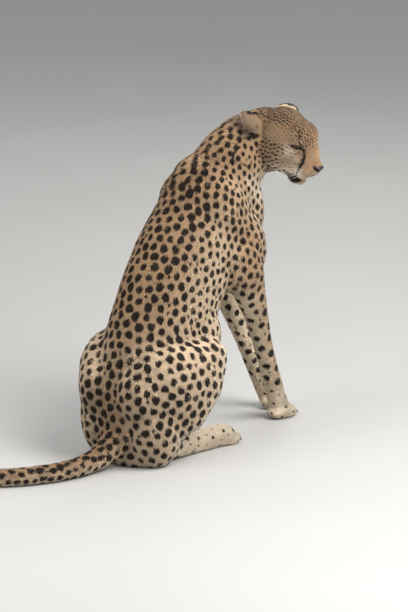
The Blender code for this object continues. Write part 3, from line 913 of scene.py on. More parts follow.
# Spots under this radius are drawn out more
SMALL_SPOT = 0.0045
STRETCH = (1.0, 1.2)
SMALL_STRETCH = (1.15, 1.7)
# Moving the spots apart: rounds, the share of each push, neighbours, and the room sought, in gaps
RELAX_TIMES = 22
RELAX_SHARE = 0.13
RELAX_NEAR = 8
RELAX_ROOM = 0.72


def point_tree(places):
    tree = KDTree(len(places))
    for i, place in enumerate(places):
        tree.insert(place, i)
    tree.balance()
    return tree


class Spots:
    """Spots laid over the skin."""

    def __init__(self, rng):
        self.rng = rng
        self.rows = []

    def lay(self, points, normals, lies, gaps, radii, open_skin, margin=0.0):
        """Takes candidates in turn, each clearing the ground round it of the others."""
        alive = open_skin.copy()
        for row in self.rows:
            near = np.sum((points - row.place) ** 2, 1) < (row.radius * SPOT_CLEAR + margin * gaps) ** 2
            alive &= ~(near & (normals @ row.normal > ALIKE))
        for i in range(len(points)):
            if not alive[i]:
                continue
            near = np.sum((points - points[i]) ** 2, 1) < ((gaps + gaps[i]) * 0.5) ** 2
            alive &= ~(near & (normals @ normals[i] > ALIKE))
            radius = radii[i] * self.rng.uniform(*SPOT_SIZES)
            shape = self.rng.uniform(-1, 1, 4) * SPOT_WAVES
            stretch = self.rng.uniform(*(STRETCH if radius > SMALL_SPOT else SMALL_STRETCH))
            self.rows.append(Spot(points[i], normals[i], lies[i], radius, stretch, shape, gaps[i]))

    def relax(self, skin_tree):
        """Moves the spots apart over the skin until they lie about evenly."""
        place = np.array([row.place for row in self.rows])
        normal = np.array([row.normal for row in self.rows])
        gap = np.array([row.gap for row in self.rows])
        for _ in range(RELAX_TIMES):
            tree = point_tree(place)
            shift = np.zeros_like(place)
            for i, p in enumerate(place):
                for _, j, far in tree.find_n(p, RELAX_NEAR):
                    room = (gap[i] + gap[j]) * RELAX_ROOM
                    if j == i or far > room or normal[i] @ normal[j] < ALIKE:
                        continue
                    shift[i] += (p - place[j]) / max(far, 1e-6) * (room - far)
            shift -= normal * np.sum(shift * normal, 1, keepdims=True)
            place = place + shift * RELAX_SHARE
            for i in range(len(place)):
                place[i], normal[i] = skin_tree.find_nearest(place[i])[:2]
        self.rows = [row._replace(place=p, normal=n) for row, p, n in zip(self.rows, place, normal)]

    def finish(self):
        """Turns the rows into one array for each of a spot's values."""
        self.all = Spot(*(np.array(column) for column in zip(*self.rows)))
        along = self.all.along
        flat = np.sum(along * self.all.normal, 1, keepdims=True)
        self.along = unit(along - self.all.normal * flat)
        self.across = np.cross(self.all.normal, self.along)
        self.tree = point_tree(self.all.place)

    def distance(self, points, normals, count=5):
        """The signed distance to the nearest spot's edge."""
        picks = np.array([[hit[1] for hit in self.tree.find_n(p, count)] for p in points])
        best = np.full(len(points), NO_MARK)
        for column in range(count):
            i = picks[:, column]
            rel = points - self.all.place[i]
            normal = self.all.normal[i]
            a = np.sum(rel * self.along[i], 1) / self.all.stretch[i] ** 0.5
            b = np.sum(rel * self.across[i], 1) * self.all.stretch[i] ** 0.5
            d = np.sum(rel * normal, 1) * 0.6
            turn = np.arctan2(b, a)
            s = self.all.shape[i]
            waves = s[:, 0] * np.cos(2 * turn) + s[:, 1] * np.sin(2 * turn)
            waves = waves + s[:, 2] * np.cos(3 * turn) + s[:, 3] * np.sin(3 * turn)
            gap = np.sqrt(a * a + b * b + d * d) - self.all.radius[i] * (1 + waves)
            gap = np.where(np.sum(normals * normal, 1) > 0.0, gap, NO_MARK)
            best = np.minimum(best, gap)
        return best


# Tail: the line down its middle, from the rump to the tip
TAIL_LINE = np.array([
    (0.000, 0.005, 0.085),
    (0.004, 0.098, 0.034),
    (0.010, 0.165, 0.026),
    (0.028, 0.235, 0.025),
    (0.064, 0.305, 0.024),
    (0.116, 0.366, 0.024),
    (0.178, 0.418, 0.023),
    (0.250, 0.458, 0.021),
    (0.322, 0.486, 0.018),
    (0.384, 0.504, 0.013),
])
TAIL_LENGTH = np.sum(np.linalg.norm(np.diff(TAIL_LINE, axis=0), axis=1))
# Each band's place along the tail, from 0 to 1, and half its width
TAIL_BANDS = [(0.655, 0.011), (0.735, 0.013), (0.815, 0.015), (0.895, 0.017)]
# The pale tip begins here
TAIL_TIP = (0.93, 0.95)


def tail_bands(points, tail_share):
    """Dark bands round the end of the tail."""
    _, place = chain_gap(points, TAIL_LINE)
    gap = np.minimum.reduce([np.abs(place - at) * TAIL_LENGTH - half for at, half in TAIL_BANDS])
    return np.where(tail_share > 0.5, np.minimum(gap, NO_MARK), NO_MARK)


# ---------------------------------------------------------------- the coat's ground colour
# Colours of each region: on the side that faces the dark way, round the middle and below
GROUND = {
    "trunk": (TAN_BACK, TAN_FLANK, BUFF),
    "neck": (TAN_BACK, TAN_SIDE, BUFF),
    "forelegs": (TAN_SIDE, BUFF, BUFF),
    # The thighs are paler than the trunk: partly their own paler coat, partly painted sunlight from above
    "thighs": (TAN_FLANK, CREAM, CREAM),
    "feet": (FOOT_PALE, BUFF, BUFF),
    "tail": (HEAD_BROWN, TAN_SIDE, BUFF),
    "head": (HEAD_BROWN, CHEEK_TAN, BUFF),
}
# Pale patches of the face, on the left side: where, and how far each reaches
PALE_PATCHES = [
    ((0.128, 0.044, 0.012), 0.016),  # under the eye
    ((0.170, 0.026, -0.030), 0.016),  # lip
    ((0.152, 0.036, 0.000), 0.010),  # behind the tear line
    ((0.148, 0.040, -0.014), 0.010),  # lower along it
    ((0.120, 0.040, -0.065), 0.028),  # chin
]
PALE_SHARE = 0.45
EAR_SHARE = 0.7
CUP_SHARE = 0.5


def ground_colour(points, normals, shares):
    """The tan above, the buff of the sides and the cream below, region by region."""
    colour = np.zeros((len(points), 3))
    for k, row in enumerate(REGIONS):
        above, middle, below = GROUND[row.name]
        t = (normals @ row.dark)[:, None]
        tone = mix(middle, above, ramp(0.05, 0.75, t))
        tone = mix(tone, below, ramp(-0.1, -0.75, t))
        colour += tone * shares[:, k : k + 1]
    return colour


def ear_cups(points, normals):
    """1 on the hollow side of each ear, 0 elsewhere."""
    share = np.zeros(len(points))
    for word, side in SIDES:
        near = 1 - ramp(0.0, 0.006, outside_box(points, f"ear_{word}"))
        share = np.maximum(share, near * ramp(-0.1, -0.5, normals @ head_way(EAR_BACK[side])))
    return share


def head_ground(points, normals, colour):
    """The face's pale patches and chin, and the ears' colours, the right ear's grey-brown back being partly
    painted sheen.
    """
    h = to_head(points)
    near = distance(h, [0.10, 0, 0]) < 0.16
    pale = ramp(-0.050, -0.066, h[:, 2]) * ramp(0.06, 0.10, h[:, 0])
    for _, side in SIDES:
        for centre, reach in PALE_PATCHES:
            pale = np.maximum(pale, bell(distance(h, np.array(centre) * [1, side, 1]), reach))
    colour = mix(colour, CREAM, (pale * near * PALE_SHARE)[:, None])
    for _, side in SIDES:
        rel = h - EAR_ROOT[side]
        tip_way = unit(EAR_TIP[side])
        on_ear = ramp(0.0, 0.010, rel @ tip_way) * ramp(0.050, 0.036, distance(rel, tip_way * EAR_MIDDLE))
        # The right ear's grey is its dark back with painted sheen from above
        tone = EAR_CREAM if side > 0 else EAR_SHEEN_GREY
        colour = mix(colour, tone, (on_ear * EAR_SHARE)[:, None])
    cup = ear_cups(points, normals)[:, None]
    return mix(colour, TAN_FLANK, cup * CUP_SHARE)


# ---------------------------------------------------------------- skin: building
# Round each eye the skin is smoothed in full within the first of these distances, and not past the second
ORBIT_REACH = (0.022, 0.032)
# Steps between none and all in which the skin's points are freed for thinning
FREE_STEPS = 5


def on_muzzle(h):
    return (distance(h, MUZZLE) < 0.068) & (h[:, 0] > 0.105)


def round_eyes(h):
    near = np.zeros(len(h), bool)
    for _, side in SIDES:
        _, _, radius, ahead = lid_measure(h, side)
        near |= (radius < 0.024) & (ahead > 0)
    return near


def refine(mesh):
    """Halves the faces of the muzzle, and again those round the eyes, where the folds are."""
    bm = bmesh.new()
    bm.from_mesh(mesh)
    for area in (on_muzzle, round_eyes):
        picked = area(to_head(np.array([v.co for v in bm.verts])))
        edges = [e for e in bm.edges if picked[e.verts[0].index] and picked[e.verts[1].index]]
        bmesh.ops.subdivide_edges(bm, edges=edges, cuts=1, use_grid_fill=True)
        bm.verts.index_update()
    bm.to_mesh(mesh)
    bm.free()


def sink_by_coat(mesh):
    """Smooths the fused skin and draws it in by the coat's depth."""
    rough = mesh_points(mesh)
    ends = edge_ends(mesh)
    fine = spread(fine_zone(rough), ends, SOFTEN_ZONE)
    points = spread(rough, ends, SOFTEN_FINE)
    points = spread(points, ends, SOFTEN_BODY, hold=1 - fine)
    move_points(mesh, points)
    normals = mesh_points(mesh, "normal")
    # What the smoothing took off the body is given back
    shrunk = spread(np.sum((points - rough) * normals, 1), ends, SOFTEN_SHRINKAGE)
    depth = along_regions(region_shares(points), "depth")
    move_points(mesh, points - normals * (depth + shrunk)[:, None])


def orbit_share(points):
    """1 round the eyes, 0 elsewhere."""
    h = to_head(points)
    share = np.zeros(len(h))
    for _, side in SIDES:
        gap = distance(h, [EYES_X + 0.004, side * EYES_Y, EYES_Z - 0.004])
        share = np.maximum(share, 1 - ramp(*ORBIT_REACH, gap))
    return share


def off_lids(points):
    """0 on the lids, 1 clear of them."""
    h = to_head(points)
    loose = np.ones(len(h))
    for _, side in SIDES:
        measure, _, radius, ahead = lid_measure(h, side)
        on_lid = (ahead > 0) & (radius < EYE_RADIUS * 1.5)
        loose = np.minimum(loose, np.where(on_lid, ramp(1.6, 2.3, measure), 1.0))
    return loose


def clear_eyeballs(points):
    """Moves any of the lids' skin that has sunk into an eyeball back out of it."""
    h = to_head(points)
    for _, side in SIDES:
        measure, rel, radius, ahead = lid_measure(h, side)
        radius = np.maximum(radius, 1e-6)
        sunk = (ahead > -0.2 * radius) & (measure > 1.15) & (radius < EYE_RADIUS + LID_CLEAR)
        h = np.where(sunk[:, None], h + rel * ((EYE_RADIUS + LID_CLEAR) / radius - 1)[:, None], h)
    return from_head(h)


def thin_out(skin, points, rng):
    """Thins the skin's faces away from the head and paws, keeping its surface."""
    mesh = skin.data
    move_points(mesh, points)
    hold = fine_zone(points)
    smooth = BVHTree.FromObject(skin, bpy.context.evaluated_depsgraph_get())
    grain = rng.uniform(-ROUGHEN, ROUGHEN, len(points)) * (1 - ramp(0.0, 0.5, hold))
    move_points(mesh, points + mesh_points(mesh, "normal") * grain[:, None])
    group = skin.vertex_groups.new(name="free")
    steps = np.round((1 - ramp(0.2, 0.6, hold)) * FREE_STEPS).astype(int)
    for step in range(FREE_STEPS + 1):
        group.add(np.nonzero(steps == step)[0].tolist(), step / FREE_STEPS, "REPLACE")
    thin = skin.modifiers.new("thin", "DECIMATE")
    thin.ratio = SKIN_TRIANGLES / sum(len(p.vertices) - 2 for p in mesh.polygons)
    thin.vertex_group = group.name
    thin.use_collapse_triangulate = True
    evaluated(skin)
    skin.vertex_groups.clear()
    points = mesh_points(skin.data)
    for i in np.nonzero(fine_zone(points) < 0.5)[0]:
        points[i] = smooth.find_nearest(points[i])[0]
    move_points(skin.data, points)


def make_skin(rng):
    skin = fused_flesh()
    mesh = skin.data
    sink_by_coat(mesh)
    refine(mesh)
    points = mesh_points(mesh)
    ends = edge_ends(mesh)
    face = (distance(to_head(points), MUZZLE) < 0.072).astype(float)
    points = spread(points, ends, SOFTEN_MUZZLE, hold=face)
    orbit = orbit_share(points)
    points = spread(points, ends, SOFTEN_ORBITS, hold=orbit)
    points = model_head(points)
    points = spread(points, ends, SOFTEN_LIDS, hold=orbit * off_lids(points))
    points = model_paws(clear_eyeballs(points))
    points[:, 2] = np.maximum(points[:, 2], SKIN_FLOOR)
    thin_out(skin, points, rng)
    smooth_shade(skin.data)
    return skin


def unwrap(obj):
    """Lays the skin's own shape out flat, as the map OFBake."""
    obj.data.uv_layers.new(name="OFBake")
    bpy.context.view_layer.objects.active = obj
    obj.select_set(True)
    bpy.ops.object.mode_set(mode="EDIT")
    bpy.ops.mesh.select_all(action="SELECT")
    bpy.ops.uv.smart_project(angle_limit=math.radians(70), island_margin=0.001)
    bpy.ops.object.mode_set(mode="OBJECT")
    obj.select_set(False)


# ---------------------------------------------------------------- what the coat takes from the skin
# Candidates from which the spots are taken
SPOT_CANDIDATES = 52000
# Spots under the first radius aren't laid, and small ones lie only among those over the second
LEAST_SPOT = 0.0014
FILLED_SPOT = 0.004
# Down the sides the spots are closer and smaller by these shares
SIDE_CLOSER = 0.06
SIDE_SMALLER = 0.20
# Room between spots in the first laying, and room, radius and margin of the small ones between them
SPOT_ROOM = 0.74
FILL_ROOM = 0.52
FILL_RADIUS = 0.46
FILL_MARGIN = 0.45
# How much longer and how much prouder the hair is along the crest of the nape, and in the ears
CREST_MORE = (1.1, 2.2)
CUP_MORE = (1.2, 1.5)


class Hide:
    """The skin as arrays, with everything that the coat takes from it."""

    def __init__(self, skin, rng):
        mesh = skin.data
        self.points = mesh_points(mesh)
        self.normals = mesh_points(mesh, "normal")
        self.ends = edge_ends(mesh)
        mesh.calc_loop_triangles()
        self.tris = triangle_corners(mesh, "vertices")
        uvs = np.empty(len(mesh.loops) * 2, np.float32)
        mesh.uv_layers["OFBake"].uv.foreach_get("vector", uvs)
        self.uvs = uvs.reshape(-1, 2)[triangle_corners(mesh, "loops")]
        self.tree = BVHTree.FromPolygons(self.points.tolist(), self.tris.tolist(), all_triangles=True)
        self.shares = region_shares(self.points)
        self.lies = self.comb()
        self.spots = Spots(rng)
        self.lay_spots(rng)
        self.mark = self.mark_at(self.points, self.normals, self.region_sum("tail"))
        self.ground = self.ground_tones()
        self.size_coat()

    def region_sum(self, *names):
        columns = [k for k, row in enumerate(REGIONS) if row.name in names]
        return self.shares[:, columns].sum(1)

    def tangent(self, ways, normals):
        ways = ways - normals * np.sum(ways * normals, 1, keepdims=True)
        return unit(ways)

    def comb(self):
        """The lie of the coat, smoothed along the skin."""
        lies = self.shares @ np.array([row.lie for row in REGIONS])
        lies = self.tangent(lies, self.normals) * np.linalg.norm(lies, axis=1, keepdims=True)
        return self.tangent(spread(lies, self.ends, SOFTEN_LIE), self.normals)

    def scatter(self, weights, number, rng):
        """Even random places on the triangles: the triangle and the weights of its corners."""
        total = np.cumsum(weights)
        steps = (np.arange(number) + rng.random(number)) / number * total[-1]
        tri = np.minimum(np.searchsorted(total, steps), len(weights) - 1)
        a = np.sqrt(rng.random(number))
        b = rng.random(number)
        return tri, np.stack([1 - a, a * (1 - b), a * b], 1)

    def at(self, values, tri, weights):
        """A value of the skin's points, at places on its triangles."""
        corners = values[self.tris[tri]]
        if values.ndim == 1:
            return np.sum(corners * weights, 1)
        return np.sum(corners * weights[:, :, None], 1)

    def mark_at(self, places, normals, tail_share):
        """The signed distance from places on the skin to the edge of the nearest black mark."""
        spots = self.spots.distance(places, normals)
        drawn = drawn_marks(places, normals, self.tree)
        return np.minimum.reduce([spots, drawn, tail_bands(places, tail_share)])

    def areas(self):
        a, b, c = (self.points[self.tris[:, k]] for k in range(3))
        return np.linalg.norm(np.cross(b - a, c - a), axis=1) / 2

    def lay_spots(self, rng):
        """Spots laid evenly, a little closer and smaller down the sides, with small ones between them."""
        gap = along_regions(self.shares, "gap")
        above = sum(self.shares[:, k] * (self.normals @ row.dark) for k, row in enumerate(REGIONS))
        below = (1 - ramp(0.15, 0.65, above)) * (1 - self.region_sum("head", "feet"))
        gap = gap * (1 - SIDE_CLOSER * below)
        size = along_regions(self.shares, "spot") * (1 - SIDE_SMALLER * below)
        weights = self.areas() / (gap[self.tris].mean(1) ** 2)
        tri, corner = self.scatter(weights, SPOT_CANDIDATES, rng)
        order = rng.permutation(len(tri))
        tri, corner = tri[order], corner[order]
        points, normals, lies, gaps, radii = (
            self.at(values, tri, corner) for values in (self.points, self.normals, self.lies, gap, size)
        )
        normals = unit(normals)
        drawn = drawn_marks(points, normals, self.tree)
        free = (radii > LEAST_SPOT) & (drawn > 0.004) & (points[:, 2] > 0.002)
        self.spots.lay(points, normals, lies, gaps * SPOT_ROOM, radii, free)
        self.spots.relax(self.tree)
        free &= radii > FILLED_SPOT
        self.spots.lay(points, normals, lies, gaps * FILL_ROOM, radii * FILL_RADIUS, free, margin=FILL_MARGIN)
        self.spots.finish()

    def ground_tones(self):
        """The coat's colour without its marks, with the tail's pale tip."""
        colour = ground_colour(self.points, self.normals, self.shares)
        colour = head_ground(self.points, self.normals, colour)
        _, along_tail = chain_gap(self.points, TAIL_LINE)
        tip = ramp(*TAIL_TIP, along_tail) * ramp(0.4, 0.6, self.region_sum("tail"))
        return spread(mix(colour, CREAM * 1.02, tip[:, None]), self.ends, SOFTEN_COLOURS)

    def size_coat(self):
        """The tufts' length and width and the coat's depth, with more on the nape's crest and in the ears."""
        facing = ramp(0.2, 0.8, self.normals @ unit(BACK))
        high = ramp(0.60, 0.68, self.points[:, 2])
        crest = facing * high * bell(self.points[:, 0], 0.05) * (1 - self.region_sum("head"))
        cup = ear_cups(self.points, self.normals)
        long, depth = (along_regions(self.shares, field) for field in ("long", "depth"))
        self.long = long * (1 + CREST_MORE[0] * crest + CUP_MORE[0] * cup)
        self.depth = depth * (1 + CREST_MORE[1] * crest + CUP_MORE[1] * cup)
        self.wide = along_regions(self.shares, "wide") * TUFT_NARROWING


# ---------------------------------------------------------------- skin and coat: finish
def skin_material():
    look = Finish("short coat")
    ground = look.attribute("ground", "Color")
    mark = look.attribute("mark")
    hairs = look.streaks(640.0)
    broad = look.noise(9.0, 3.0, 0.6)
    ragged = look.noise(260.0, 2.0, 0.6)
    dark = (mark + (ragged - 0.5) * 0.0034).step(0.0009, -0.0009)
    tone = look.scaled(ground, 0.74 + broad * 0.24 + hairs * 0.26)
    colour = look.blend(tone, SPOT_BLACK, dark)
    bump = look.bump(hairs, 0.5, 0.0012)
    return look.set(Base_Color=colour, Roughness=0.80, Normal=bump, Specular_IOR_Level=0.08)


def coat_material():
    look = Finish("coat")
    ground = look.attribute("ground", "Color")
    mark = look.attribute("mark")
    reach = look.attribute("reach")
    shade = look.attribute("shade")
    hairs = look.streaks(900.0)
    broad = look.noise(9.0, 3.0, 0.6)
    dark = mark.step(0.0008, -0.0008)
    # Painted shade: by reach, each tuft is darker toward its root, as if shaded by the coat round it; broad,
    # shade and hairs add random tone and strands
    light = (0.88 + broad * 0.24 + shade * 0.07) * (0.76 + reach * 0.30) + (hairs - 0.5) * 0.2
    colour = look.blend(look.scaled(ground, light), SPOT_BLACK, dark * 0.97)
    bump = look.bump(hairs, 0.35, 0.0006)
    gloss = {"Specular_IOR_Level": 0.18, "Sheen_Weight": 0.05}
    return look.set(Base_Color=colour, Roughness=0.75, Normal=bump, **gloss)


# ---------------------------------------------------------------- coat: tufts
# Corners of one tuft: its root's left and right, its ridge and its tip
TUFT_FACES = np.array([(0, 1, 2), (0, 2, 3), (2, 1, 3), (0, 3, 1)])
TUFT_CORNERS = 4
# Each corner's place in the tuft's patch of the map OFBake, in halves of the patch
TUFT_PATCH = np.array([(-1, -1), (1, -1), (0, 0), (0, 1)])
HALF_PATCH = 0.0015
# Tufts are this share as wide as their region says, so that they show finer
TUFT_NARROWING = 0.72
# Shares between which a tuft's length, width and rise vary, and how much its way and its marks stray
LONG_SHARES = (0.78, 1.2)
WIDE_SHARES = (0.8, 1.25)
RISE_SHARES = (0.6, 1.05)
STRAY_WAY = 0.10
STRAY_MARK = 0.0005
# Slow waves in the lie over the body: radians per metre along each axis, and how far each turns the hair
LIE_WAVES = [((61.0, 47.0, 53.0), 0.10), ((-90.0, 101.0, 83.0), 0.07)]
# How far along a tuft its ridge is
RIDGE_AT = 0.38
# A tuft's root lies this far under the skin
ROOT_DEPTH = 0.0005
# The visible part of a tuft begins this far along it, and takes its marks from there
MARK_AT = 0.55
# How far a tuft keeps one colour from root to tip
OWN_COLOUR = 0.35
# A tip past this distance from the skin, over an edge of it, keeps to its root's plane
TIP_SEARCH = 0.012

# Coat pieces, and the regions and sides of the skin that each is rooted on
PIECES = {
    "coat_head": (("head",), (-1, 1)),
    "coat_neck": (("neck",), (-1, 1)),
    "coat_trunk_right": (("trunk",), (-1,)),
    "coat_trunk_left": (("trunk",), (1,)),
    "coat_forelegs": (("forelegs",), (-1, 1)),
    "coat_thighs": (("thighs",), (-1, 1)),
    "coat_feet_and_tail": (("feet", "tail"), (-1, 1)),
}


def near_skin(tree, points, normals):
    """The skin under each point, and its normal there; a point over a far side keeps its own."""
    feet = points.copy()
    ups = normals.copy()
    for i, p in enumerate(points):
        place, up, _, gap = tree.find_nearest(p)
        if place is not None and gap < TIP_SEARCH and up.dot(Vector(normals[i])) > 0.2:
            feet[i] = place
            ups[i] = up
    return feet, ups


def tuft_mesh(name, points, uvs):
    """A mesh of tufts from the corners and map places of each."""
    number = len(points)
    first = (np.arange(number) * TUFT_CORNERS)[:, None, None]
    corners = (TUFT_FACES[None] + first).ravel()
    faces = number * len(TUFT_FACES)
    mesh = bpy.data.meshes.new(name)
    mesh.vertices.add(number * TUFT_CORNERS)
    mesh.vertices.foreach_set("co", points.astype(np.float32).ravel())
    mesh.loops.add(len(corners))
    mesh.loops.foreach_set("vertex_index", corners.astype(np.int32))
    mesh.polygons.add(faces)
    mesh.polygons.foreach_set("loop_start", np.arange(faces, dtype=np.int32) * 3)
    layer = mesh.uv_layers.new(name="OFBake")
    layer.uv.foreach_set("vector", uvs.reshape(-1, 2)[corners].astype(np.float32).ravel())
    mesh.update(calc_edges=True)
    mesh.validate()
    smooth_shade(mesh)
    return mesh


def make_tufts(name, hide, tri, corner, rng, material):
    """One coat piece: each tuft is a low ridge from its root, along the lie, to its tip over the skin."""
    number = len(tri)
    root = hide.at(hide.points, tri, corner)
    normal = unit(hide.at(hide.normals, tri, corner))
    lie = hide.tangent(hide.at(hide.lies, tri, corner), normal)
    depth = hide.at(hide.depth, tri, corner)
    long = hide.at(hide.long, tri, corner) * rng.uniform(*LONG_SHARES, number)
    wide = hide.at(hide.wide, tri, corner) * rng.uniform(*WIDE_SHARES, number)
    side = np.cross(lie, normal)
    wave = sum(np.sin(root @ way) * turn for way, turn in LIE_WAVES)
    turn = (wave + rng.normal(0, STRAY_WAY, number))[:, None]
    lie = lie * np.cos(turn) + side * np.sin(turn)
    side = np.cross(lie, normal)
    rise = depth * rng.uniform(*RISE_SHARES, number)
    tip, tip_up = near_skin(hide.tree, root + lie * long[:, None], normal)
    tail_share = hide.at(hide.region_sum("tail"), tri, corner)
    marks = [hide.mark_at(place, normal, tail_share) for place in (mix(root, tip, MARK_AT), tip)]
    ridge = mix(root, tip, RIDGE_AT) + normal * (rise * 0.5 + wide * 0.22)[:, None]
    tip = tip + tip_up * rise[:, None]
    half = side * (wide * 0.5)[:, None]
    sunk = normal * ROOT_DEPTH
    points = np.stack([root - half - sunk, root + half - sunk, ridge, tip], 1)
    points[:, :, 2] = np.maximum(points[:, :, 2], TUFT_FLOOR)
    uv = np.sum(hide.uvs[tri] * corner[:, :, None], 1)
    mesh = tuft_mesh(name, points, uv[:, None] + TUFT_PATCH * HALF_PATCH)
    own = np.stack(marks, 1)
    own = mix(own, own.mean(1, keepdims=True), OWN_COLOUR)
    own = own + rng.normal(0, STRAY_MARK, number)[:, None]
    ground = hide.at(hide.ground, tri, corner)
    store(mesh, "ground", np.repeat(ground, TUFT_CORNERS, 0), "FLOAT_COLOR")
    store(mesh, "mark", own[:, [0, 0, 0, 1]])
    store(mesh, "lie", np.repeat(lie, TUFT_CORNERS, 0), "FLOAT_VECTOR")
    # reach runs from 0 at the root to 1 at the tip, and by it the coat's material paints shade toward the
    # root
    store(mesh, "reach", np.tile([0.0, 0.0, 0.5, 1.0], number))
    store(mesh, "shade", np.repeat(rng.normal(0, 1, number).clip(-2, 2), TUFT_CORNERS))
    mesh.materials.append(material)
    return link(bpy.data.objects.new(name, mesh))


def bare_skin(points):
    """Where no tuft is rooted: the lids' edges, the nose, the slit of the mouth and the soles."""
    h = to_head(points)
    bare = points[:, 2] < 0.0025
    for _, side in SIDES:
        measure, _, radius, ahead = lid_measure(h, side)
        bare |= (measure < 1.40) & (ahead > 0) & (radius < EYE_RADIUS * 1.35)
    bare |= (nose_oval(h, 0.0200, 0.0100) < 1) & (h[:, 0] > 0.186)
    over = h[:, 2] - mouth_height(h[:, 0])
    bare |= (over > -0.0050) & (over < 0.0014) & (h[:, 0] > 0.127) & (np.abs(h[:, 1]) < 0.04)
    return bare


def make_coat(hide, rng, material):
    """The coat in pieces, each rooted on its own part of the skin."""
    names = list(GROUND)
    sums = np.stack([hide.region_sum(name) for name in names], 1)
    region = np.array(names)[sums.argmax(1)[hide.tris[:, 0]]]
    side = np.where(hide.points[hide.tris[:, 0], 0] > 0, 1, -1)
    # Smaller tufts stand closer
    density = hide.areas() / (hide.long * hide.wide)[hide.tris].mean(1) ** 0.8
    density = density * ~bare_skin(hide.points)[hide.tris].any(1)
    number = TUFTS
    made = []
    for name, (regions, sides) in PIECES.items():
        here = np.isin(region, regions) & np.isin(side, sides)
        tri, corner = hide.scatter(density * here, number, rng)
        made.append(make_tufts(name, hide, tri, corner, rng, material))
    return made


# ---------------------------------------------------------------- eyes and nose
# The way the left eye looks, in the head's frame
GAZE = (0.80, 0.58, 0.14)
IRIS = 0.0104
PUPIL = 0.0032
# The eyeball stays this much inside its node, but for the cornea's rise
BALL_INSET = 0.0004
CORNEA_RISE = 0.0011


def eye_material():
    look = Finish("eye")
    ring = look.attribute("ring")
    streak = look.noise(900.0, 2.0, 0.6)
    # Painted shade: the amber iris is darkened almost to black, as if in the shadow of the brow
    shaded_amber = look.blend(srgb(34, 20, 11), srgb(56, 35, 18), streak)
    shaded_amber = look.blend(srgb(20, 12, 7), shaded_amber, ring.step(PUPIL, PUPIL + 0.0030))
    iris = look.blend(shaded_amber, srgb(30, 18, 10), ring.step(IRIS - 0.0012, IRIS))
    white = look.blend(iris, srgb(52, 34, 24), ring.step(IRIS, IRIS + 0.0008))
    colour = look.blend(srgb(4, 3, 3), white, ring.step(PUPIL - 0.0003, PUPIL + 0.0003))
    gloss = {"Coat_Weight": 0.45, "Coat_Roughness": 0.03, "Coat_IOR": 1.4}
    return look.set(Base_Color=colour, Roughness=0.32, Specular_IOR_Level=0.15, **gloss)


def eyeball(word, side, material):
    """A ball with its cornea standing proud, looking where the gaze points."""
    bm = bmesh.new()
    bmesh.ops.create_uvsphere(bm, u_segments=64, v_segments=48, radius=1.0)
    gaze = head_way(np.array(GAZE) * [1, side, 1])
    turn = Vector(gaze).to_track_quat("Z", "Y").to_matrix()
    rings = []
    for v in bm.verts:
        ring = math.acos(max(-1.0, min(1.0, v.co.z))) * EYE_RADIUS
        rings.append(ring)
        rise = CORNEA_RISE * float(bell(ring, IRIS * 0.95))
        v.co = turn @ (v.co * (EYE_RADIUS - BALL_INSET + rise)) + Vector(EYE[word])
    bm.normal_update()
    mesh = bpy.data.meshes.new(f"eyeball_{word}")
    bm.to_mesh(mesh)
    bm.free()
    store(mesh, "ring", np.array(rings))
    smooth_shade(mesh)
    mesh.materials.append(material)
    ball = link(bpy.data.objects.new(f"eyeball_{word}", mesh))
    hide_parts(f"eye_{word}")
    return ball


# Nose: half its length, width and height, and its middle from that of its node
NOSE_RADII = np.array([0.0115, 0.0188, 0.0098])
NOSE_SHIFT = np.array([0.0030, 0, -0.0045])
# 1 leaves it a ball, and less makes it squarer
NOSE_SQUARE = 0.9
# How much narrower it is at its foot, how far its top stands ahead, and how deep its groove is
NOSE_NARROWING = 0.62
NOSE_LEAN = 0.34
NOSE_GROOVE = 0.0018
# Pushes for the left half: the nostril from its mouth to its tail, and the wing over it
NOSTRIL_PUSHES = [
    ((0.0108, 0.0056, -0.0016), 0.0034, (-1, 0.1, 0.2), 0.0050),
    ((0.0100, 0.0078, -0.0008), 0.0032, (-1, -0.2, 0.1), 0.0046),
    ((0.0078, 0.0100, 0.0002), 0.0030, (-0.9, -0.5, 0.1), 0.0032),
    ((0.0050, 0.0122, 0.0012), 0.0028, (-0.6, -0.9, 0.1), 0.0022),
    ((0.0110, 0.0088, 0.0042), 0.0060, (1, 0.2, 0.3), 0.0012),
]


def nose_material():
    look = Finish("nose")
    grain = look.noise(1500.0, 3.0, 0.6)
    colour = look.blend(srgb(26, 20, 19), srgb(58, 46, 42), grain)
    bump = look.bump(grain, 0.4, 0.0003)
    return look.set(Base_Color=colour, Roughness=0.38, Normal=bump, Specular_IOR_Level=0.4)


def nose_leather():
    """The bare nose: two nostrils with their wings, and the groove below."""
    bm = bmesh.new()
    bmesh.ops.create_icosphere(bm, subdivisions=5, radius=1.0)
    points = np.array([v.co for v in bm.verts])
    shape = np.sign(points) * np.abs(points) ** NOSE_SQUARE * NOSE_RADII
    shape[:, 1] *= 1 - NOSE_NARROWING * ramp(0.95, -0.75, points[:, 2])
    shape[:, 0] += shape[:, 2] * NOSE_LEAN
    for _, side in SIDES:
        shape = push_all(shape, NOSTRIL_PUSHES, side)
    groove = bell(shape[:, 1], 0.0010) * ramp(0.002, 0.007, shape[:, 0]) * ramp(0.006, 0.0, shape[:, 2])
    shape[:, 0] -= groove * NOSE_GROOVE
    points = from_head(shape + to_head(NOSE) + NOSE_SHIFT)
    for v, p in zip(bm.verts, points):
        v.co = p
    bmesh.ops.recalc_face_normals(bm, faces=bm.faces)
    mesh = bpy.data.meshes.new("nose_leather")
    bm.to_mesh(mesh)
    bm.free()
    smooth_shade(mesh)
    mesh.materials.append(nose_material())
    nose = link(bpy.data.objects.new("nose_leather", mesh))
    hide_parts("nose")
    return nose


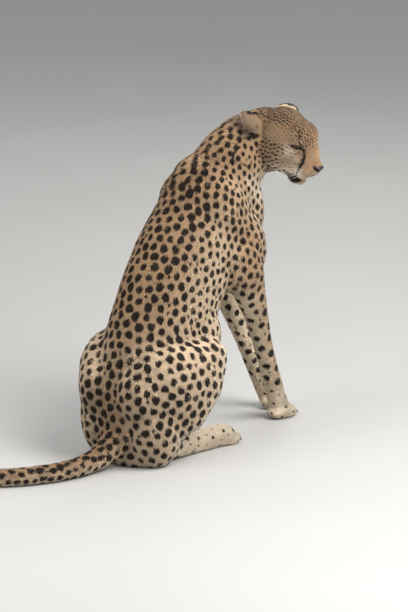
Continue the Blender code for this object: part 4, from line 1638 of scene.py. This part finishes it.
# ---------------------------------------------------------------- whiskers and claws
def rod_tree(material):
    """Geometry nodes that make a tapering rod along each chain of edges.

    The attribute "share" says how thick a rod is at each point, as a share of its root's radius.
    """
    tree = bpy.data.node_groups.new("tapering rods", "GeometryNodeTree")
    add_socket = tree.interface.new_socket
    add_socket("Chains", in_out="INPUT", socket_type="NodeSocketGeometry")
    add_socket("Root Radius", in_out="INPUT", socket_type="NodeSocketFloat")
    add_socket("Sides", in_out="INPUT", socket_type="NodeSocketInt")
    add_socket("Rods", in_out="OUTPUT", socket_type="NodeSocketGeometry")
    chains, root, sides = (add_node(tree, "NodeGroupInput", output=i) for i in range(3))
    share = add_node(tree, "GeometryNodeInputNamedAttribute", {"data_type": "FLOAT"}, {"Name": "share"})
    curve = add_node(tree, "GeometryNodeMeshToCurve", None, {"Mesh": chains})
    circle = add_node(tree, "GeometryNodeCurvePrimitiveCircle", None, {"Resolution": sides, "Radius": 1.0})
    sweep = {"Curve": curve, "Profile Curve": circle, "Scale": root * share, "Fill Caps": True}
    rods = add_node(tree, "GeometryNodeCurveToMesh", None, sweep)
    rods = add_node(tree, "GeometryNodeRealizeInstances", None, {"Geometry": rods})
    rods = add_node(tree, "GeometryNodeSetMaterial", None, {"Geometry": rods, "Material": material})
    add_node(tree, "NodeGroupOutput", None, {"Rods": rods})
    return tree


def grown_rods(name, chains, radii, sides, material):
    """Rods along chains of points, with the same radii along each, as one plain mesh."""
    count = len(radii)
    sizes = {"Root Radius": radii[0], "Sides": sides}
    order = np.arange(len(chains) * count).reshape(-1, count)
    edges = np.stack([order[:, :-1], order[:, 1:]], 2).reshape(-1, 2)
    mesh = bpy.data.meshes.new(name)
    mesh.from_pydata(np.concatenate(chains).tolist(), edges.tolist(), [])
    store(mesh, "share", np.tile(np.divide(radii, radii[0]), len(chains)))
    obj = link(bpy.data.objects.new(name, mesh))
    growth = obj.modifiers.new("growth", "NODES")
    growth.node_group = rod_tree(material)
    for socket in growth.node_group.interface.items_tree:
        if socket.name in sizes:
            growth[socket.identifier] = sizes[socket.name]
    evaluated(obj)
    face_outward(obj.data)
    smooth_shade(obj.data)
    return obj


# Whiskers: rows on each side and whiskers in a row, and the least and greatest length
WHISKER_ROWS = 3
WHISKERS_IN_ROW = 4
WHISKER_LENGTHS = (0.045, 0.080)
WHISKER_RADII = np.linspace(0.00020, 0.00004, 7)
WHISKER_SIDES = 4
WHISKER_ROOTED = 0.001
# The first whisker's root, ahead and up in the head's frame, and the steps along a row and from row to row
WHISKER_FIRST = np.array([0.176, -0.014])
WHISKER_STEP = np.array([-0.007, 0.0])
WHISKER_ROW_STEP = np.array([0.002, -0.0065])
# The way a left whisker leaves the lip, and the way and the share by which it bends
WHISKER_OUT = np.array([-0.25, 0.9, -0.18])
WHISKER_OUT_STEP = np.array([-0.14, 0, 0])
WHISKER_OUT_ROW_STEP = np.array([0, 0, -0.16])
WHISKER_BACK = np.array([-1.0, 0.25, -0.35])
WHISKER_BACK_ROW_STEP = np.array([0, 0, -0.1])
WHISKER_BEND = 0.75


def make_whiskers(hide, rng):
    paths = []
    for _, side in SIDES:
        for row in range(WHISKER_ROWS):
            for k in range(WHISKERS_IN_ROW):
                x, z = WHISKER_FIRST + WHISKER_STEP * k + WHISKER_ROW_STEP * row
                start = from_head([x, 0.10 * side, z])
                hit = hide.tree.ray_cast(Vector(start), Vector(head_way((0, -side, 0))))
                if hit[0] is None:
                    continue
                root = np.array(hit[0]) - np.array(hit[1]) * WHISKER_ROOTED
                mirror = np.array([1, side, 1])
                out = head_way((WHISKER_OUT + WHISKER_OUT_STEP * k + WHISKER_OUT_ROW_STEP * row) * mirror)
                back = head_way((WHISKER_BACK + WHISKER_BACK_ROW_STEP * row) * mirror)
                long = rng.uniform(*WHISKER_LENGTHS)
                t = np.linspace(0, 1, len(WHISKER_RADII))[:, None]
                paths.append(root + out * long * t + back * long * WHISKER_BEND * t * t)
    look = Finish("whisker")
    tone = look.blend(srgb(214, 204, 190), srgb(240, 234, 224), look.noise(200.0))
    material = look.set(Base_Color=tone, Roughness=0.45)
    return grown_rods("whiskers", paths, WHISKER_RADII, WHISKER_SIDES, material)


# Claws: places across the paw, height, length, how far each drops, and how deep it is rooted
CLAW_AT = (-0.0245, -0.0085, 0.0085, 0.0245)
CLAW_HEIGHT = np.array([0, 0, 0.013])
CLAW_LENGTH = 0.013
CLAW_DROP = np.array([0, 0, -0.0085])
CLAW_ROOTED = 0.004
CLAW_RADII = [0.0026, 0.0025, 0.0022, 0.0017, 0.0011, 0.0003]
CLAW_SIDES = 8
# Far enough ahead of the paw to look back at it from
AHEAD_OF_PAW = 0.12


def make_claws(hide):
    paths = []
    for tip, way in PAWS.values():
        for at in CLAW_AT:
            start = tip + across_paw(way) * at + way * AHEAD_OF_PAW + CLAW_HEIGHT
            hit = hide.tree.ray_cast(Vector(start), Vector(-way))
            if hit[0] is None:
                continue
            root = np.array(hit[0]) - way * CLAW_ROOTED
            t = np.linspace(0, 1, len(CLAW_RADII))[:, None]
            paths.append(root + way * CLAW_LENGTH * t + CLAW_DROP * t * t)
    look = Finish("claw horn")
    tone = look.blend(srgb(38, 30, 26), srgb(84, 70, 58), look.noise(300.0))
    material = look.set(Base_Color=tone, Roughness=0.4)
    return grown_rods("claws", paths, CLAW_RADII, CLAW_SIDES, material)


# ---------------------------------------------------------------- assembly
rng = np.random.default_rng(SEED)
skin = make_skin(rng)
unwrap(skin)
hide = Hide(skin, rng)
store(skin.data, "ground", hide.ground, "FLOAT_COLOR")
store(skin.data, "mark", hide.mark)
store(skin.data, "lie", hide.lies, "FLOAT_VECTOR")
skin.data.materials.append(skin_material())
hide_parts(*FLESH)
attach(skin, "root")

for piece in make_coat(hide, rng, coat_material()):
    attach(piece, "root")

eye_look = eye_material()
for word, side in SIDES:
    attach(eyeball(word, side, eye_look), "root")
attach(nose_leather(), "root")
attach(make_whiskers(hide, rng), "root")
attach(make_claws(hide), "root")

# ---------------------------------------------------------------- studio
CAMERA_BACK = Vector((-0.6079, 0.7507, 0.2588))
CAMERA_RIGHT = Vector((-0.7770, -0.6290, 0.0))
CAMERA_UP = Vector((0.1628, -0.2011, 0.9659))
CAMERA_FAR = 14.0
VIEW_HEIGHT = 1.569
VIEW_MIDDLE = CAMERA_RIGHT * 0.2016 + CAMERA_UP * 0.400 - CAMERA_BACK * 0.08
SENSOR = 36.0

FLOOR_EDGE = 12.0
SKY = (0.92, 0.95, 1.0)
SKY_STRENGTH = 0.60
LIGHT_AIM = Vector((0.0, -0.25, 0.4))
# Each soft light's way from the aim, distance, size and power
LIGHTS = {
    "key": ((-1.0, 0.0, 1.2), 3.2, 1.8, 168.0),
    "fill": ((0.3, 1.0, 0.6), 3.4, 2.6, 75.0),
    "front": ((0.4, -1.0, 0.8), 3.4, 2.6, 40.0),
    "bounce": ((-1.0, 0.1, 0.22), 3.0, 1.6, 36.0),
}


def soft_light(name, way, far, size, power):
    light = bpy.data.lights.new(name, "AREA")
    light.size = size
    light.energy = power
    obj = link(bpy.data.objects.new(name, light))
    way = Vector(way).normalized()
    obj.location = LIGHT_AIM + way * far
    obj.rotation_mode = "QUATERNION"
    obj.rotation_quaternion = way.to_track_quat("Z", "Y")


def make_floor():
    mesh = bpy.data.meshes.new("floor")
    edge = FLOOR_EDGE
    corners = [(-edge, -edge, 0), (edge, -edge, 0), (edge, edge, 0), (-edge, edge, 0)]
    mesh.from_pydata(corners, [], [(0, 1, 2, 3)])
    look = Finish("pale floor")
    tone = look.blend((0.36, 0.35, 0.33), (0.40, 0.39, 0.37), look.noise(1.5))
    mesh.materials.append(look.set(Base_Color=tone, Roughness=0.8))
    floor = link(bpy.data.objects.new("floor", mesh))


def make_sky():
    world = bpy.data.worlds.new("studio")
    world.use_nodes = True
    sky = world.node_tree.nodes["Background"]
    sky.inputs["Color"].default_value = (*SKY, 1.0)
    sky.inputs["Strength"].default_value = SKY_STRENGTH
    bpy.context.scene.world = world


def make_camera():
    camera = bpy.data.cameras.new("camera")
    camera.lens = SENSOR * CAMERA_FAR / VIEW_HEIGHT
    camera.clip_end = 60.0
    obj = link(bpy.data.objects.new("camera", camera))
    obj.location = VIEW_MIDDLE + CAMERA_BACK * CAMERA_FAR
    turn = Matrix((CAMERA_RIGHT, CAMERA_UP, CAMERA_BACK)).transposed()
    obj.rotation_mode = "QUATERNION"
    obj.rotation_quaternion = turn.to_quaternion()
    bpy.context.scene.camera = obj


make_floor()
make_sky()
for name, settings in LIGHTS.items():
    soft_light(name, *settings)
make_camera()
bpy.context.scene.view_settings.view_transform = "Standard"
